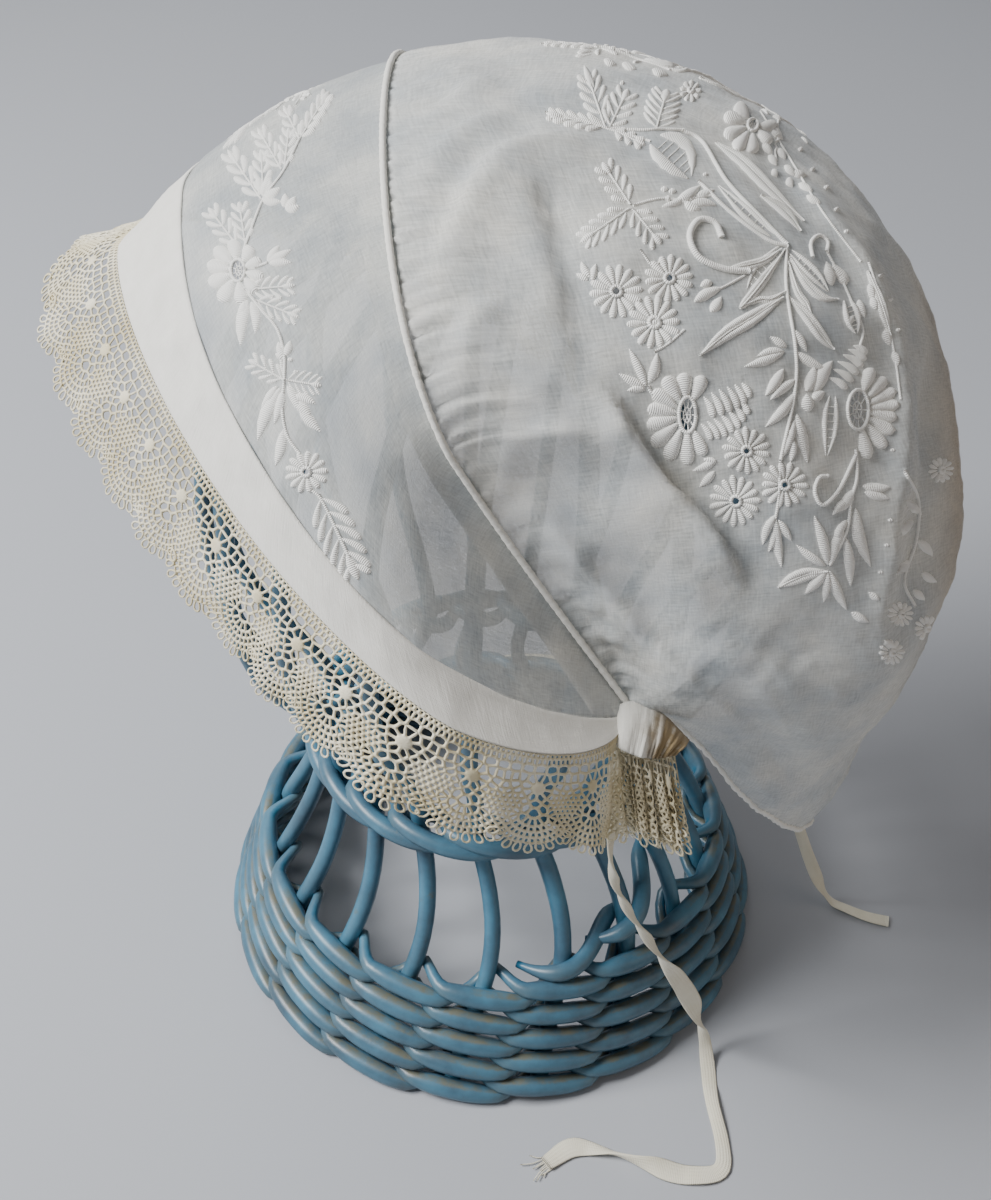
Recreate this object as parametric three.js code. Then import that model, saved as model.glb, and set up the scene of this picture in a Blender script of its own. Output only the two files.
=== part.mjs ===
// A whitework lace cap held by a blue-painted wicker stand.
// Millimetres, +Z up, the face opening looks along -X. The tables count from the floor under the foot's
// middle, and the finished part is shifted so that its own middle stands over the origin.
import * as THREE from 'three';
import { mergeVertices } from 'three/addons/utils/BufferGeometryUtils.js';

// The cap's cloth is a fan of arches. Each arch runs from the near chin corner over the head to the far one,
// and lies in a plane that turns about the line through both corners.
const hinge = { x: 35, z: 155.5 };      // that line, seen from the side
const cornerOut = 80;                   // each corner's distance from the middle
const lean = 0.11;                      // the cap leans to its far side by this share of the height
const sideShift = 2;
const shoulder = 0.64;                  // share of half an arch that lies above its widest line
const hollowCentre = new THREE.Vector3(15, 3, 165);   // the walls get their thickness towards this point

// turn: plane's angle above the back, degrees; reach: arch's top from the hinge line; half: half width;
// widest: height of the widest line as a share of reach; corner: radius at the corners;
// full: 2 is a round arch, less is a pointed one; sweep: degrees that the sides turn on
const arches = [
  { turn: 149, reach: 149.5, half: 109, widest: 0.30, corner: 3, full: 1.5, sweep: 6.5 },   // face edge
  { turn: 133, reach: 140.5, half: 90, widest: 0.46, corner: 3, full: 1.8, sweep: 7 },
  { turn: 117, reach: 130, half: 77.5, widest: 0.60, corner: 3, full: 2, sweep: 8 },        // piped seam
  { turn: 92, reach: 118.5, half: 79.5, widest: 0.56, corner: 3, full: 2, sweep: 4.5 },
  { turn: 65, reach: 108, half: 85, widest: 0.50, corner: 3, full: 2, sweep: 1.5 },
  { turn: 39, reach: 99.5, half: 86.5, widest: 0.46, corner: 3.2, full: 2, sweep: 0 },
  { turn: 15, reach: 92, half: 85, widest: 0.45, corner: 3.5, full: 2.05, sweep: -0.5 },
  { turn: -10, reach: 87.5, half: 79, widest: 0.42, corner: 4, full: 1.95, sweep: 0 },
  { turn: -35, reach: 96, half: 71, widest: 0.38, corner: 4.5, full: 1.7, sweep: 2.6 },
  { turn: -58, reach: 127, half: 63, widest: 0.33, corner: 5, full: 1.4, sweep: 6.5 },      // neck edge
];
const faceTurn = arches[0].turn;
const seamTurn = arches[2].turn;
const neckTurn = arches[arches.length - 1].turn;

// Dents and ridges of the crown: route of [turn, across], height outwards and spread in mm
const folds = [
  { name: 'side crease', height: -4, spread: 8,
    route: [[101, -0.17], [99, -0.31], [95, -0.5], [90, -0.6], [78, -0.64], [65, -0.67], [55, -0.68]] },
  { name: 'side roll', height: 4.5, spread: 9,
    route: [[112, -0.71], [104, -0.76], [88, -0.8], [45, -0.81], [0, -0.79], [-36, -0.67]] },
  { name: 'back crest', height: 3, spread: 9,
    route: [[71, -0.01], [61, -0.16], [50, -0.3], [44, -0.42], [33, -0.52], [18, -0.54], [-3, -0.56]] },
  { name: 'back hollow', height: -3, spread: 11, route: [[20, -0.3], [0, -0.33], [-22, -0.35]] },
  { name: 'far crease', height: -3, spread: 9, route: [[96, 0.3], [84, 0.5], [62, 0.62]] },
  { name: 'far roll', height: 3, spread: 10, route: [[104, 0.7], [70, 0.78], [20, 0.78], [-30, 0.66]] },
];
const foldFade = 12;       // degrees from the piped seam in which the folds die out

const clothWall = 1.2;
const hemWall = 1.6;
const hemTurn = 9.5;       // degrees of the fan that the hem takes: about 16 mm
const gap = 0.35;          // between neighbouring pieces
const pipingRadius = 0.9;

// Lace: a strip of scallops sewn to the face edge
const laceWall = 1.3;
const laceWidth = 30;
const laceGap = 0.9;         // the lace is sewn on this far below the hem
const scallopPitch = 15.5;
const scallopDepth = 3.5;
const laceStepsPerScallop = 4;
const laceLast = 0.93;      // the strip leaves the face edge at this place across an arch
const laceTail = { x: 17, out: -3, z: -2 };   // and goes on past the chin corner by this much
// Way that the lace falls from the face edge, by place across an arch: forwards, to the far side, down
const laceFall = [
  { across: -1, front: -0.15, far: -0.45, down: 0.85 },
  { across: -0.9, front: -0.04, far: -0.33, down: 0.93 },
  { across: -0.75, front: 0.12, far: -0.2, down: 0.95 },
  { across: -0.6, front: 0.42, far: -0.16, down: 0.87 },
  { across: -0.5, front: 0.6, far: 0, down: 0.79 },
  { across: -0.4, front: 0.53, far: 0.03, down: 0.83 },
  { across: -0.2, front: 0.74, far: -0.03, down: 0.66 },
  { across: -0.08, front: 0.84, far: 0.06, down: 0.5 },
  { across: 0, front: 0.84, far: 0.35, down: 0.42 },
  { across: 0.1, front: 0.7, far: 0.6, down: 0.36 },
  { across: 0.22, front: 0.5, far: 0.72, down: 0.4 },
  { across: 0.4, front: 0.35, far: 0.62, down: 0.68 },
  { across: 0.6, front: 0.2, far: 0.48, down: 0.82 },
  { across: 1, front: 0, far: 0.35, down: 0.93 },
];

// Ties: narrow tapes, each with its route's points
const tieRadius = 1.7;
const floorLevel = 2.2;    // centre line of a tape that lies on the floor
const tieSides = 8;
const ties = [
  { name: 'chin_tie_near', steps: 30, route: [[33, -73, 148], [32, -75, 132], [31, -79, 119], [31, -84, 108],
    [35, -83, 92], [43.5, -80, 71], [55, -74, 43], [62, -70, 22], [65.5, -68.5, 7], [66.5, -74, floorLevel],
    [66.5, -86, floorLevel], [68, -100, floorLevel], [66.5, -108, floorLevel], [58, -109.5, floorLevel],
    [46, -107, floorLevel], [32, -102, floorLevel], [24, -101, floorLevel], [16, -106, floorLevel]] },
  { name: 'chin_tie_far', steps: 30, route: [[33, 77, 148], [32, 79, 132], [31, 83, 119], [31, 87, 106],
    [34, 90, 84], [38, 91, 56], [42, 91, 28], [44.5, 92, 9], [44, 97, floorLevel], [38, 105, floorLevel],
    [26, 110, floorLevel], [10, 111, floorLevel], [-6, 108, floorLevel], [-20, 106, floorLevel]] },
  { name: 'nape_tie', steps: 12, route: [[98, -7.5, 42], [101, -8, 33], [105, -9, 22], [110, -10, 10],
    [114.5, -11.5, floorLevel + 1.5], [119, -13.5, floorLevel], [126, -17, floorLevel],
    [133, -19, floorLevel]] },
];

// Stand
const staveCount = 19;
const stavePhase = 0.026;
const staveRadius = 2.6;
const staveSteps = 20;
const staveSides = 6;
const skirt = { footOut: 86.5, footIn: 80.5, topOut: 74, topIn: 70.6, height: 38, rows: 5, bulge: 1.9 };
const collar = { radius: 56.7, tube: 3, height: 79 };
const topKnot = { radius: 14.2, height: 257.5, thick: 5 };
const formForward = 10;    // how far the form's top lies behind the foot's middle
// A stave's centre line: oval of long (X) and wide (Y) half axes, and sideways bow, by height
const staveLine = [
  { height: 4.5, long: 75.9, wide: 75.9, forward: 0, bow: 4 },
  { height: 21, long: 71.4, wide: 71.4, forward: 0, bow: 4 },
  { height: 38, long: 66.8, wide: 66.8, forward: 0, bow: 4 },
  { height: 50, long: 61, wide: 61, forward: 0, bow: 5.2 },
  { height: 63, long: 55, wide: 55, forward: 0, bow: 3.6 },
  { height: 79, long: 49.3, wide: 49.3, forward: 0, bow: 0 },
  { height: 98, long: 55, wide: 53, forward: 0, bow: 0 },
  { height: 122, long: 71, wide: 65, forward: 0, bow: 0 },
  { height: 147, long: 78, wide: 70, forward: 1, bow: 0 },
  { height: 172, long: 79, wide: 68.5, forward: 2, bow: 0 },
  { height: 195, long: 76, wide: 64, forward: 3, bow: 0 },
  { height: 215, long: 68, wide: 58, forward: 5, bow: 0 },
  { height: 232, long: 56, wide: 49, forward: 7, bow: 0 },
  { height: 246, long: 40, wide: 36, forward: 9, bow: 0 },
  { height: 255, long: 26, wide: 25, forward: formForward, bow: 0 },
  { height: 257.5, long: 19, wide: 19, forward: formForward, bow: 0 },
];

const cloth = new THREE.MeshStandardMaterial({ color: 0xe9e9e6, roughness: 0.9, metalness: 0 });
const hemCloth = new THREE.MeshStandardMaterial({ color: 0xf3f2ec, roughness: 0.9, metalness: 0 });
const laceThread = new THREE.MeshStandardMaterial({ color: 0xd9d3bd, roughness: 0.9, metalness: 0 });
const tape = new THREE.MeshStandardMaterial({ color: 0xe9e4cf, roughness: 0.9, metalness: 0 });
const paintedCane = new THREE.MeshStandardMaterial({ color: 0x4f8cab, roughness: 0.4, metalness: 0 });

const radians = THREE.MathUtils.degToRad;
const group = new THREE.Group();

function signedVolume(positions, index) {
  const [a, b, c] = [new THREE.Vector3(), new THREE.Vector3(), new THREE.Vector3()];
  let volume = 0;
  for (let i = 0; i < index.count; i += 3) {
    a.fromBufferAttribute(positions, index.getX(i));
    b.fromBufferAttribute(positions, index.getX(i + 1));
    c.fromBufferAttribute(positions, index.getX(i + 2));
    volume += a.dot(b.cross(c)) / 6;
  }
  return volume;
}

// One closed body: shared corners merged and faces turned to point out
function addPiece(name, geometry, material) {
  geometry.deleteAttribute('normal');
  geometry.deleteAttribute('uv');
  const merged = mergeVertices(geometry, 1e-4);
  if (signedVolume(merged.attributes.position, merged.index) < 0) {
    const flipped = Array.from(merged.index.array);
    for (let i = 0; i < flipped.length; i += 3) [flipped[i], flipped[i + 1]] = [flipped[i + 1], flipped[i]];
    merged.setIndex(flipped);
  }
  merged.computeVertexNormals();
  const mesh = new THREE.Mesh(merged, material);
  mesh.name = name;
  group.add(mesh);
}

// Smooth value of a table's column at a place given in its key column
function readTable(table, key, place, column) {
  const rising = table[1][key] > table[0][key];
  const last = table.length - 1;
  let i = 0;
  while (i < last - 1 && (rising ? place > table[i + 1][key] : place < table[i + 1][key])) i += 1;
  const slope = (j) => {
    const before = table[Math.max(j - 1, 0)];
    const after = table[Math.min(j + 1, last)];
    return (after[column] - before[column]) / (after[key] - before[key]);
  };
  const span = table[i + 1][key] - table[i][key];
  const u = THREE.MathUtils.clamp((place - table[i][key]) / span, 0, 1);
  return (2 * u ** 3 - 3 * u ** 2 + 1) * table[i][column] + (u ** 3 - 2 * u ** 2 + u) * span * slope(i)
    + (3 * u ** 2 - 2 * u ** 3) * table[i + 1][column] + (u ** 3 - u ** 2) * span * slope(i + 1);
}

// Point of the smooth cap, and its distance from the hinge line; across runs from -1 (near) to 1 (far)
function archPoint(turn, across) {
  const read = (column) => readTable(arches, 'turn', turn, column);
  const [reach, half, corner] = [read('reach'), read('half'), read('corner')];
  const side = Math.abs(across);
  const widestAt = corner + (reach - corner) * read('widest');
  const power = 2 / read('full');
  let away;
  let out;
  if (side <= shoulder) {
    const angle = side / shoulder * Math.PI / 2;
    out = half * Math.sin(angle) ** power;
    away = widestAt + (reach - widestAt) * Math.max(Math.cos(angle), 0) ** power;
  } else {
    const angle = (side - shoulder) / (1 - shoulder) * Math.PI / 2;
    out = half + (cornerOut - half) * (1 - Math.cos(angle));
    away = widestAt + (corner - widestAt) * Math.sin(angle);
  }
  const plane = radians(turn + read('sweep') * Math.sin(side * Math.PI / 2) ** 2);
  const z = away * Math.sin(plane);
  const point = new THREE.Vector3(hinge.x + away * Math.cos(plane),
    Math.sign(across) * out + lean * z + sideShift, hinge.z + z);
  return { point, away };
}

const foldLines = folds.map((fold) => ({
  ...fold, line: fold.route.map(([turn, across]) => archPoint(turn, across).point),
}));

// How far the folds push a point of the crown outwards
function foldHeight(turn, point) {
  const fade = THREE.MathUtils.smoothstep(seamTurn - turn, 0, foldFade);
  const nearest = new THREE.Vector3();
  let height = 0;
  for (const fold of foldLines) {
    let distance = Infinity;
    for (let i = 1; i < fold.line.length; i += 1) {
      new THREE.Line3(fold.line[i - 1], fold.line[i]).closestPointToPoint(point, true, nearest);
      distance = Math.min(distance, nearest.distanceTo(point));
    }
    height += fold.height * Math.exp(-((distance / fold.spread) ** 2));
  }
  return height * fade;
}

// The point moved away from the cap's hollow centre by lift
function lifted(point, lift) {
  const ray = point.clone().sub(hollowCentre);
  return point.clone().addScaledVector(ray.normalize(), lift);
}

// A wall as a closed body: outer and inner grids of points, joined round their edges
function wallGeometry(rows, columns, outerPoint, innerPoint) {
  const vertices = [];
  for (const pointAt of [outerPoint, innerPoint]) {
    for (let i = 0; i <= rows; i += 1) {
      for (let j = 0; j <= columns; j += 1) vertices.push(...pointAt(i / rows, j / columns).toArray());
    }
  }
  const layer = (rows + 1) * (columns + 1);
  const at = (i, j, inner) => i * (columns + 1) + j + (inner ? layer : 0);
  const faces = [];
  const quad = (a, b, c, d) => faces.push(a, b, c, a, c, d);
  for (let i = 0; i < rows; i += 1) {
    for (let j = 0; j < columns; j += 1) {
      quad(at(i, j), at(i, j + 1), at(i + 1, j + 1), at(i + 1, j));
      quad(at(i, j, true), at(i + 1, j, true), at(i + 1, j + 1, true), at(i, j + 1, true));
    }
  }
  for (let j = 0; j < columns; j += 1) {
    quad(at(0, j), at(0, j, true), at(0, j + 1, true), at(0, j + 1));
    quad(at(rows, j), at(rows, j + 1), at(rows, j + 1, true), at(rows, j, true));
  }
  for (let i = 0; i < rows; i += 1) {
    quad(at(i, 0), at(i + 1, 0), at(i + 1, 0, true), at(i, 0, true));
    quad(at(i, columns), at(i, columns, true), at(i + 1, columns, true), at(i + 1, columns));
  }
  const geometry = new THREE.BufferGeometry();
  geometry.setAttribute('position', new THREE.Float32BufferAttribute(vertices, 3));
  geometry.setIndex(faces);
  return geometry;
}

// Turn that lies a number of millimetres behind another one
function turnAfter(turn, across, distance) {
  return turn - THREE.MathUtils.radToDeg(distance / archPoint(turn, across).away);
}

// A strip of the cap between two turns, each given as a function of across
function addStrip(name, material, rows, columns, fromTurn, toTurn, wall, withFolds) {
  const surface = (u, v, lift) => {
    const across = v * 2 - 1;
    const turn = THREE.MathUtils.lerp(fromTurn(across), toTurn(across), u);
    const { point } = archPoint(turn, across);
    return lifted(point, lift + (withFolds ? foldHeight(turn, point) : 0));
  };
  const outer = (u, v) => surface(u, v, 0);
  const inner = (u, v) => surface(u, v, -wall);
  addPiece(name, wallGeometry(rows, columns, outer, inner), material);
}

function addCap() {
  addStrip('front_hem', hemCloth, 3, 42, () => faceTurn, () => faceTurn - hemTurn, hemWall, false);
  addStrip('front_band', cloth, 5, 42, (across) => turnAfter(faceTurn - hemTurn, across, gap),
    (across) => turnAfter(seamTurn, across, -gap), clothWall, false);
  addStrip('crown', cloth, 28, 42, () => seamTurn, () => neckTurn, clothWall, true);
}

function tube(points, radius, sides, steps) {
  const section = new THREE.Shape(new THREE.Path().absarc(0, 0, radius, 0, Math.PI * 2).getSpacedPoints(sides)
    .slice(0, sides));
  const path = new THREE.CatmullRomCurve3(points, false, 'centripetal');
  return new THREE.ExtrudeGeometry(section, { steps, bevelEnabled: false, extrudePath: path });
}

function addPiping() {
  const points = [];
  const pointCount = 33;
  for (let i = 0; i < pointCount; i += 1) {
    const { point } = archPoint(seamTurn, (i / (pointCount - 1)) * 1.96 - 0.98);
    points.push(lifted(point, pipingRadius + gap));
  }
  addPiece('seam_piping', tube(points, pipingRadius, 6, 48), cloth);
}

// The face edge as a line with even steps in millimetres, with the way that the lace falls there
function laceEdge() {
  const sampleCount = 400;
  const samples = [];
  let length = 0;
  for (let i = 0; i <= sampleCount; i += 1) {
    const place = i / sampleCount * 2 - 1;
    const across = THREE.MathUtils.clamp(place, -laceLast, laceLast);
    const past = Math.abs(place - across) / (1 - laceLast);
    const point = lifted(archPoint(faceTurn, across).point, -hemWall / 2);
    const tail = new THREE.Vector3(laceTail.x, Math.sign(place) * laceTail.out, laceTail.z);
    point.addScaledVector(tail, past);
    const read = (column) => readTable(laceFall, 'across', place, column);
    const fall = new THREE.Vector3(-read('front'), read('far'), -read('down')).normalize();
    if (i > 0) length += point.distanceTo(samples[i - 1].point);
    samples.push({ point, fall, length });
  }
  return samples;
}

function addLace() {
  const samples = laceEdge();
  const total = samples[samples.length - 1].length;
  const scallops = Math.round(total / scallopPitch);
  const columns = scallops * laceStepsPerScallop;
  const pick = (v) => {
    const wanted = v * total;
    let i = 1;
    while (i < samples.length - 1 && samples[i].length < wanted) i += 1;
    const [a, b] = [samples[i - 1], samples[i]];
    const t = (wanted - a.length) / (b.length - a.length);
    return { point: a.point.clone().lerp(b.point, t), fall: a.fall.clone().lerp(b.fall, t).normalize() };
  };
  const surface = (u, v, level) => {
    const { point, fall } = pick(v);
    const step = 0.01;
    const ahead = pick(Math.min(v + step, 1)).point.sub(pick(Math.max(v - step, 0)).point);
    const across = fall.clone().cross(ahead).normalize();
    const width = laceWidth - scallopDepth * Math.abs(Math.cos(v * scallops * Math.PI));
    return point.addScaledVector(fall, laceGap + u * width).addScaledVector(across, level);
  };
  const outer = (u, v) => surface(u, v, -laceWall / 2);
  const inner = (u, v) => surface(u, v, laceWall / 2);
  addPiece('lace_edging', wallGeometry(2, columns, outer, inner), laceThread);
}

function addTies() {
  for (const tie of ties) {
    const points = tie.route.map(([x, y, z]) => new THREE.Vector3(x, y, z));
    addPiece(tie.name, tube(points, tieRadius, tieSides, tie.steps), tape);
  }
}

function turned(profile, segments) {
  const geometry = new THREE.LatheGeometry(profile.map(([r, z]) => new THREE.Vector2(r, z)), segments);
  return geometry.rotateX(Math.PI / 2);
}

function addStand() {
  const profile = [[skirt.footIn, 0], [skirt.footOut, 0]];
  for (let row = 0; row < skirt.rows; row += 1) {
    for (const [share, bulge] of [[0.3, 1], [0.7, 1], [1, 0]]) {
      const level = (row + share) / skirt.rows;
      profile.push([THREE.MathUtils.lerp(skirt.footOut, skirt.topOut, level) + bulge * skirt.bulge,
        level * skirt.height]);
    }
  }
  profile.push([skirt.topIn, skirt.height], profile[0]);
  addPiece('stand_skirt', turned(profile, 44), paintedCane);

  const ring = [];
  const ringSides = 8;
  for (let i = 0; i <= ringSides; i += 1) {
    const angle = -i / ringSides * Math.PI * 2;
    ring.push([collar.radius + collar.tube * Math.cos(angle), collar.height + collar.tube * Math.sin(angle)]);
  }
  ring[ringSides] = ring[0];
  addPiece('stand_collar', turned(ring, 40), paintedCane);

  for (let i = 0; i < staveCount; i += 1) {
    const angle = (i + stavePhase) / staveCount * Math.PI * 2;
    const points = staveLine.map((at) => new THREE.Vector3(
      at.forward + at.long * Math.cos(angle) - at.bow * Math.sin(angle),
      at.wide * Math.sin(angle) + at.bow * Math.cos(angle), at.height));
    addPiece(`stave_${String(i + 1).padStart(2, '0')}`, tube(points, staveRadius, staveSides, staveSteps),
      paintedCane);
  }

  const { radius, height, thick } = topKnot;
  const knot = turned([[0, height - thick / 2], [radius * 0.8, height - thick / 2], [radius, height],
    [radius * 0.8, height + thick / 2], [0, height + thick / 2]], 24);
  knot.translate(formForward, 0, 0);
  addPiece('stand_top', knot, paintedCane);
}

addCap();
addPiping();
addLace();
addTies();
addStand();

// The shift leaves the loose ties out of the middle
const looseNames = ties.map((tie) => tie.name);
const box = new THREE.Box3();
for (const mesh of group.children) if (!looseNames.includes(mesh.name)) box.expandByObject(mesh);
const middle = box.getCenter(new THREE.Vector3());
for (const mesh of group.children) mesh.geometry.translate(-middle.x, -middle.y, 0);

export default group;
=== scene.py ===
# Whitework lace cap on its blue wicker stand
import math
import bmesh
import bpy
import numpy as np
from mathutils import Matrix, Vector
from mathutils.bvhtree import BVHTree
from mathutils.geometry import delaunay_2d_cdt
from mathutils.kdtree import KDTree


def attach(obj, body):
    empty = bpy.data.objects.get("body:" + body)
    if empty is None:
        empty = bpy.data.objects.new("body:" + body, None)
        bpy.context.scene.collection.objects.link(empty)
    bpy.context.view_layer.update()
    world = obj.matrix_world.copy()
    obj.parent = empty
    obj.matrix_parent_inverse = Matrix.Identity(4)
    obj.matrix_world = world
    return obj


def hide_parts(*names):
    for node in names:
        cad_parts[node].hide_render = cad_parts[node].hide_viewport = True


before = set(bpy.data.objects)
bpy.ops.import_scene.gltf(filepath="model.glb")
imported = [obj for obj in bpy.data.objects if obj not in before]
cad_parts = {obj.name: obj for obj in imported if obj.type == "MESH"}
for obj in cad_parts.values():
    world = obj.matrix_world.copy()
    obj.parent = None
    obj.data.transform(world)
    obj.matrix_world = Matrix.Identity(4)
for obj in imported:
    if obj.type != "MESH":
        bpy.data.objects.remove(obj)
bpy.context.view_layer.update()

bpy.ops.object.select_all(action='DESELECT')

# Everything is worked out in millimetres from the floor under the foot's middle, then moved to the frame
footPlace = np.array([-2.609, -9.0, 0.0])
mm = 0.001


def toFrame(points):
    return (np.asarray(points, float) + footPlace) * mm


def unit(vectors):
    vectors = np.asarray(vectors, float)
    return vectors / np.maximum(np.linalg.norm(vectors, axis=-1, keepdims=True), 1e-9)


def smooth(start, end, value):
    share = np.clip((np.asarray(value, float) - start) / (end - start), 0, 1)
    return share * share * (3 - 2 * share)


def tableValue(table, key, place, column):
    rows = sorted(table, key=lambda row: row[key])
    keys = np.array([row[key] for row in rows], float)
    values = np.array([row[column] for row in rows], float)
    slopes = np.gradient(values, keys) if len(rows) < 3 else np.concatenate([
        [(values[1] - values[0]) / (keys[1] - keys[0])],
        (values[2:] - values[:-2]) / (keys[2:] - keys[:-2]),
        [(values[-1] - values[-2]) / (keys[-1] - keys[-2])]])
    place = np.asarray(place, float)
    i = np.clip(np.searchsorted(keys, place) - 1, 0, len(keys) - 2)
    span = keys[i + 1] - keys[i]
    u = np.clip((place - keys[i]) / span, 0, 1)
    return ((2 * u ** 3 - 3 * u ** 2 + 1) * values[i] + (u ** 3 - 2 * u ** 2 + u) * span * slopes[i]
            + (3 * u ** 2 - 2 * u ** 3) * values[i + 1] + (u ** 3 - u ** 2) * span * slopes[i + 1])


# Camera at the photo's place: it looks 40 degrees down on the cap's near side
camera = {
    "focal": 1500,                       # pixels
    "frame": (991, 1200),                # pixels
    "pitch": 40.1,                       # degrees below level
    "place": (1.5, -333.5, 406.2),       # mm
}
cameraPlace = np.array(camera["place"])
pitch = math.radians(camera["pitch"])
viewUp = np.array([0, math.sin(pitch), math.cos(pitch)])
viewBack = np.array([0, -math.cos(pitch), math.sin(pitch)])


def addCamera():
    longSide = 36.0                      # mm of sensor for the frame's height
    bpy.ops.object.camera_add(location=toFrame(cameraPlace), rotation=(math.pi / 2 - pitch, 0, 0))
    cam = bpy.context.object
    cam.data.sensor_width = longSide
    cam.data.lens = camera["focal"] / camera["frame"][1] * longSide
    cam.data.clip_start = 0.01
    bpy.context.scene.camera = cam


def pixelRay(pixel):
    width, height = camera["frame"]
    across = (pixel[0] - width / 2) / camera["focal"]
    up = (height / 2 - pixel[1]) / camera["focal"]
    return unit(np.array([across, 0, 0]) + up * viewUp - viewBack)


def pixelsOf(points):
    away = np.asarray(points, float) - cameraPlace
    depth = -(away @ viewBack)
    width, height = camera["frame"]
    return np.stack([width / 2 + away[..., 0] / depth * camera["focal"],
                     height / 2 - (away @ viewUp) / depth * camera["focal"]], -1)


addCamera()
print("camera set")


# Materials
def linear(hexColour):
    channels = [int(hexColour[i:i + 2], 16) / 255 for i in (1, 3, 5)]
    return tuple(c / 12.92 if c <= 0.04045 else ((c + 0.055) / 1.055) ** 2.4 for c in channels) + (1.0,)


def addNode(material, kind, inputs=None, links=None, ramp=(), **settings):
    node = material.node_tree.nodes.new(kind)
    for name, value in settings.items():
        setattr(node, name, value)
    for name, value in (inputs or {}).items():
        node.inputs[name].default_value = value
    for name, source in (links or {}).items():
        material.node_tree.links.new(source, node.inputs[name])
    for number, (position, colour) in enumerate(ramp):
        node.color_ramp.elements[number].position = position
        node.color_ramp.elements[number].color = linear(colour)
    return node


def startMaterial(name, **shader):
    material = bpy.data.materials.new(name)
    material.use_nodes = True
    surface = material.node_tree.nodes["Principled BSDF"]
    for key, value in shader.items():
        surface.inputs[key.replace("_", " ")].default_value = value
    return material, surface


def plug(material, source, surface, name):
    material.node_tree.links.new(source, surface.inputs[name])


def threadLines(material, direction, spacing):
    # wavy lines across a UV map in millimetres, one for each thread
    place = addNode(material, "ShaderNodeUVMap", uv_map="UVMap")
    return addNode(material, "ShaderNodeTexWave", links={"Vector": place.outputs["UV"]},
                   inputs={"Scale": math.pi / (10 * spacing), "Distortion": 1.2, "Detail": 2.0,
                           "Detail Scale": 0.6},
                   bands_direction=direction)


def slubNoise(material, scale, stretch, detail=3.0):
    # noise drawn out along one way of the cloth, as its uneven threads are
    place = addNode(material, "ShaderNodeUVMap", uv_map="UVMap")
    turned = addNode(material, "ShaderNodeMapping", links={"Vector": place.outputs["UV"]},
                     inputs={"Scale": (stretch[0], stretch[1], 1.0)})
    return addNode(material, "ShaderNodeTexNoise", links={"Vector": turned.outputs["Vector"]},
                   inputs={"Scale": scale, "Detail": detail, "Roughness": 0.6})


# Sheer cotton batiste, washed and unpressed: threads 0.3 mm apart let light and the stand's blue through.
# Those threads are finer than the picture, so what shows is their slubs, drawn 0.5 to 0.9 mm wide. The
# attribute "stainAndShade" browns it: on the crown's back this is partly the aged cloth's yellowing and
# partly painted shade of the side that faces away from the light.
def sheerBatiste(name, dark, pale, cover):
    material, surface = startMaterial(name, Roughness=0.9, Sheen_Weight=0.25, Sheen_Roughness=0.6)
    warp = slubNoise(material, 1.0, (2.2, 0.3))
    weft = slubNoise(material, 1.0, (0.3, 2.2))
    both = addNode(material, "ShaderNodeMath", links={0: warp.outputs["Fac"], 1: weft.outputs["Fac"]},
                   operation='ADD')
    blotch = slubNoise(material, 0.045, (1, 1), 4.0)
    tint = addNode(material, "ShaderNodeValToRGB", links={"Fac": blotch.outputs["Fac"]},
                   ramp=[(0.35, dark), (0.65, pale)])
    # painted shade: the warm brown #a8906a on the crown's back, mixed in with the cloth's yellowing
    stainAndShade = addNode(material, "ShaderNodeAttribute", attribute_name="stainAndShade")
    mix = addNode(material, "ShaderNodeMix", inputs={7: linear("#a8906a")}, data_type='RGBA',
                  links={0: stainAndShade.outputs["Fac"], 6: tint.outputs["Color"]})
    plug(material, mix.outputs[2], surface, "Base Color")
    covered = addNode(material, "ShaderNodeMapRange", links={"Value": both.outputs[0]},
                      inputs={"From Min": 0.72, "From Max": 1.28, "To Min": cover[0], "To Max": cover[1]})
    plug(material, covered.outputs["Result"], surface, "Alpha")
    bump = addNode(material, "ShaderNodeBump", links={"Height": both.outputs[0]},
                   inputs={"Strength": 0.5, "Distance": 0.00016})
    plug(material, bump.outputs["Normal"], surface, "Normal")
    return material


# The hem is the same cotton, doubled and ironed by years of folding, so it is opaque and a little creamy. At
# the tie it is yellowed as well, with painted shade in the pinched pleats, as the attribute "stainAndShade"
# says.
def doubledCotton(name, dark, pale, stainedAndShaded=False):
    material, surface = startMaterial(name, Roughness=0.88, Sheen_Weight=0.2, Sheen_Roughness=0.6)
    warp = slubNoise(material, 1.0, (2.0, 0.1))
    weft = slubNoise(material, 1.0, (0.1, 2.0))
    both = addNode(material, "ShaderNodeMath", links={0: warp.outputs["Fac"], 1: weft.outputs["Fac"]},
                   operation='ADD')
    blotch = slubNoise(material, 0.16, (1, 1), 5.0)
    # painted shade of the pinched corner, with the cloth's yellowing, pulls the colour towards the dark tan
    if stainedAndShaded:
        stainAndShade = addNode(material, "ShaderNodeAttribute", attribute_name="stainAndShade")
        blotch = addNode(material, "ShaderNodeMath", operation='SUBTRACT',
                         links={0: blotch.outputs["Fac"], 1: stainAndShade.outputs["Fac"]})
    tint = addNode(material, "ShaderNodeValToRGB", links={"Fac": blotch.outputs[0]},
                   ramp=[(0.0, dark), (0.42 if stainedAndShaded else 1.0, pale)])
    plug(material, tint.outputs["Color"], surface, "Base Color")
    bump = addNode(material, "ShaderNodeBump", links={"Height": both.outputs[0]},
                   inputs={"Strength": 0.7, "Distance": 0.0002})
    plug(material, bump.outputs["Normal"], surface, "Normal")
    return material


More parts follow.
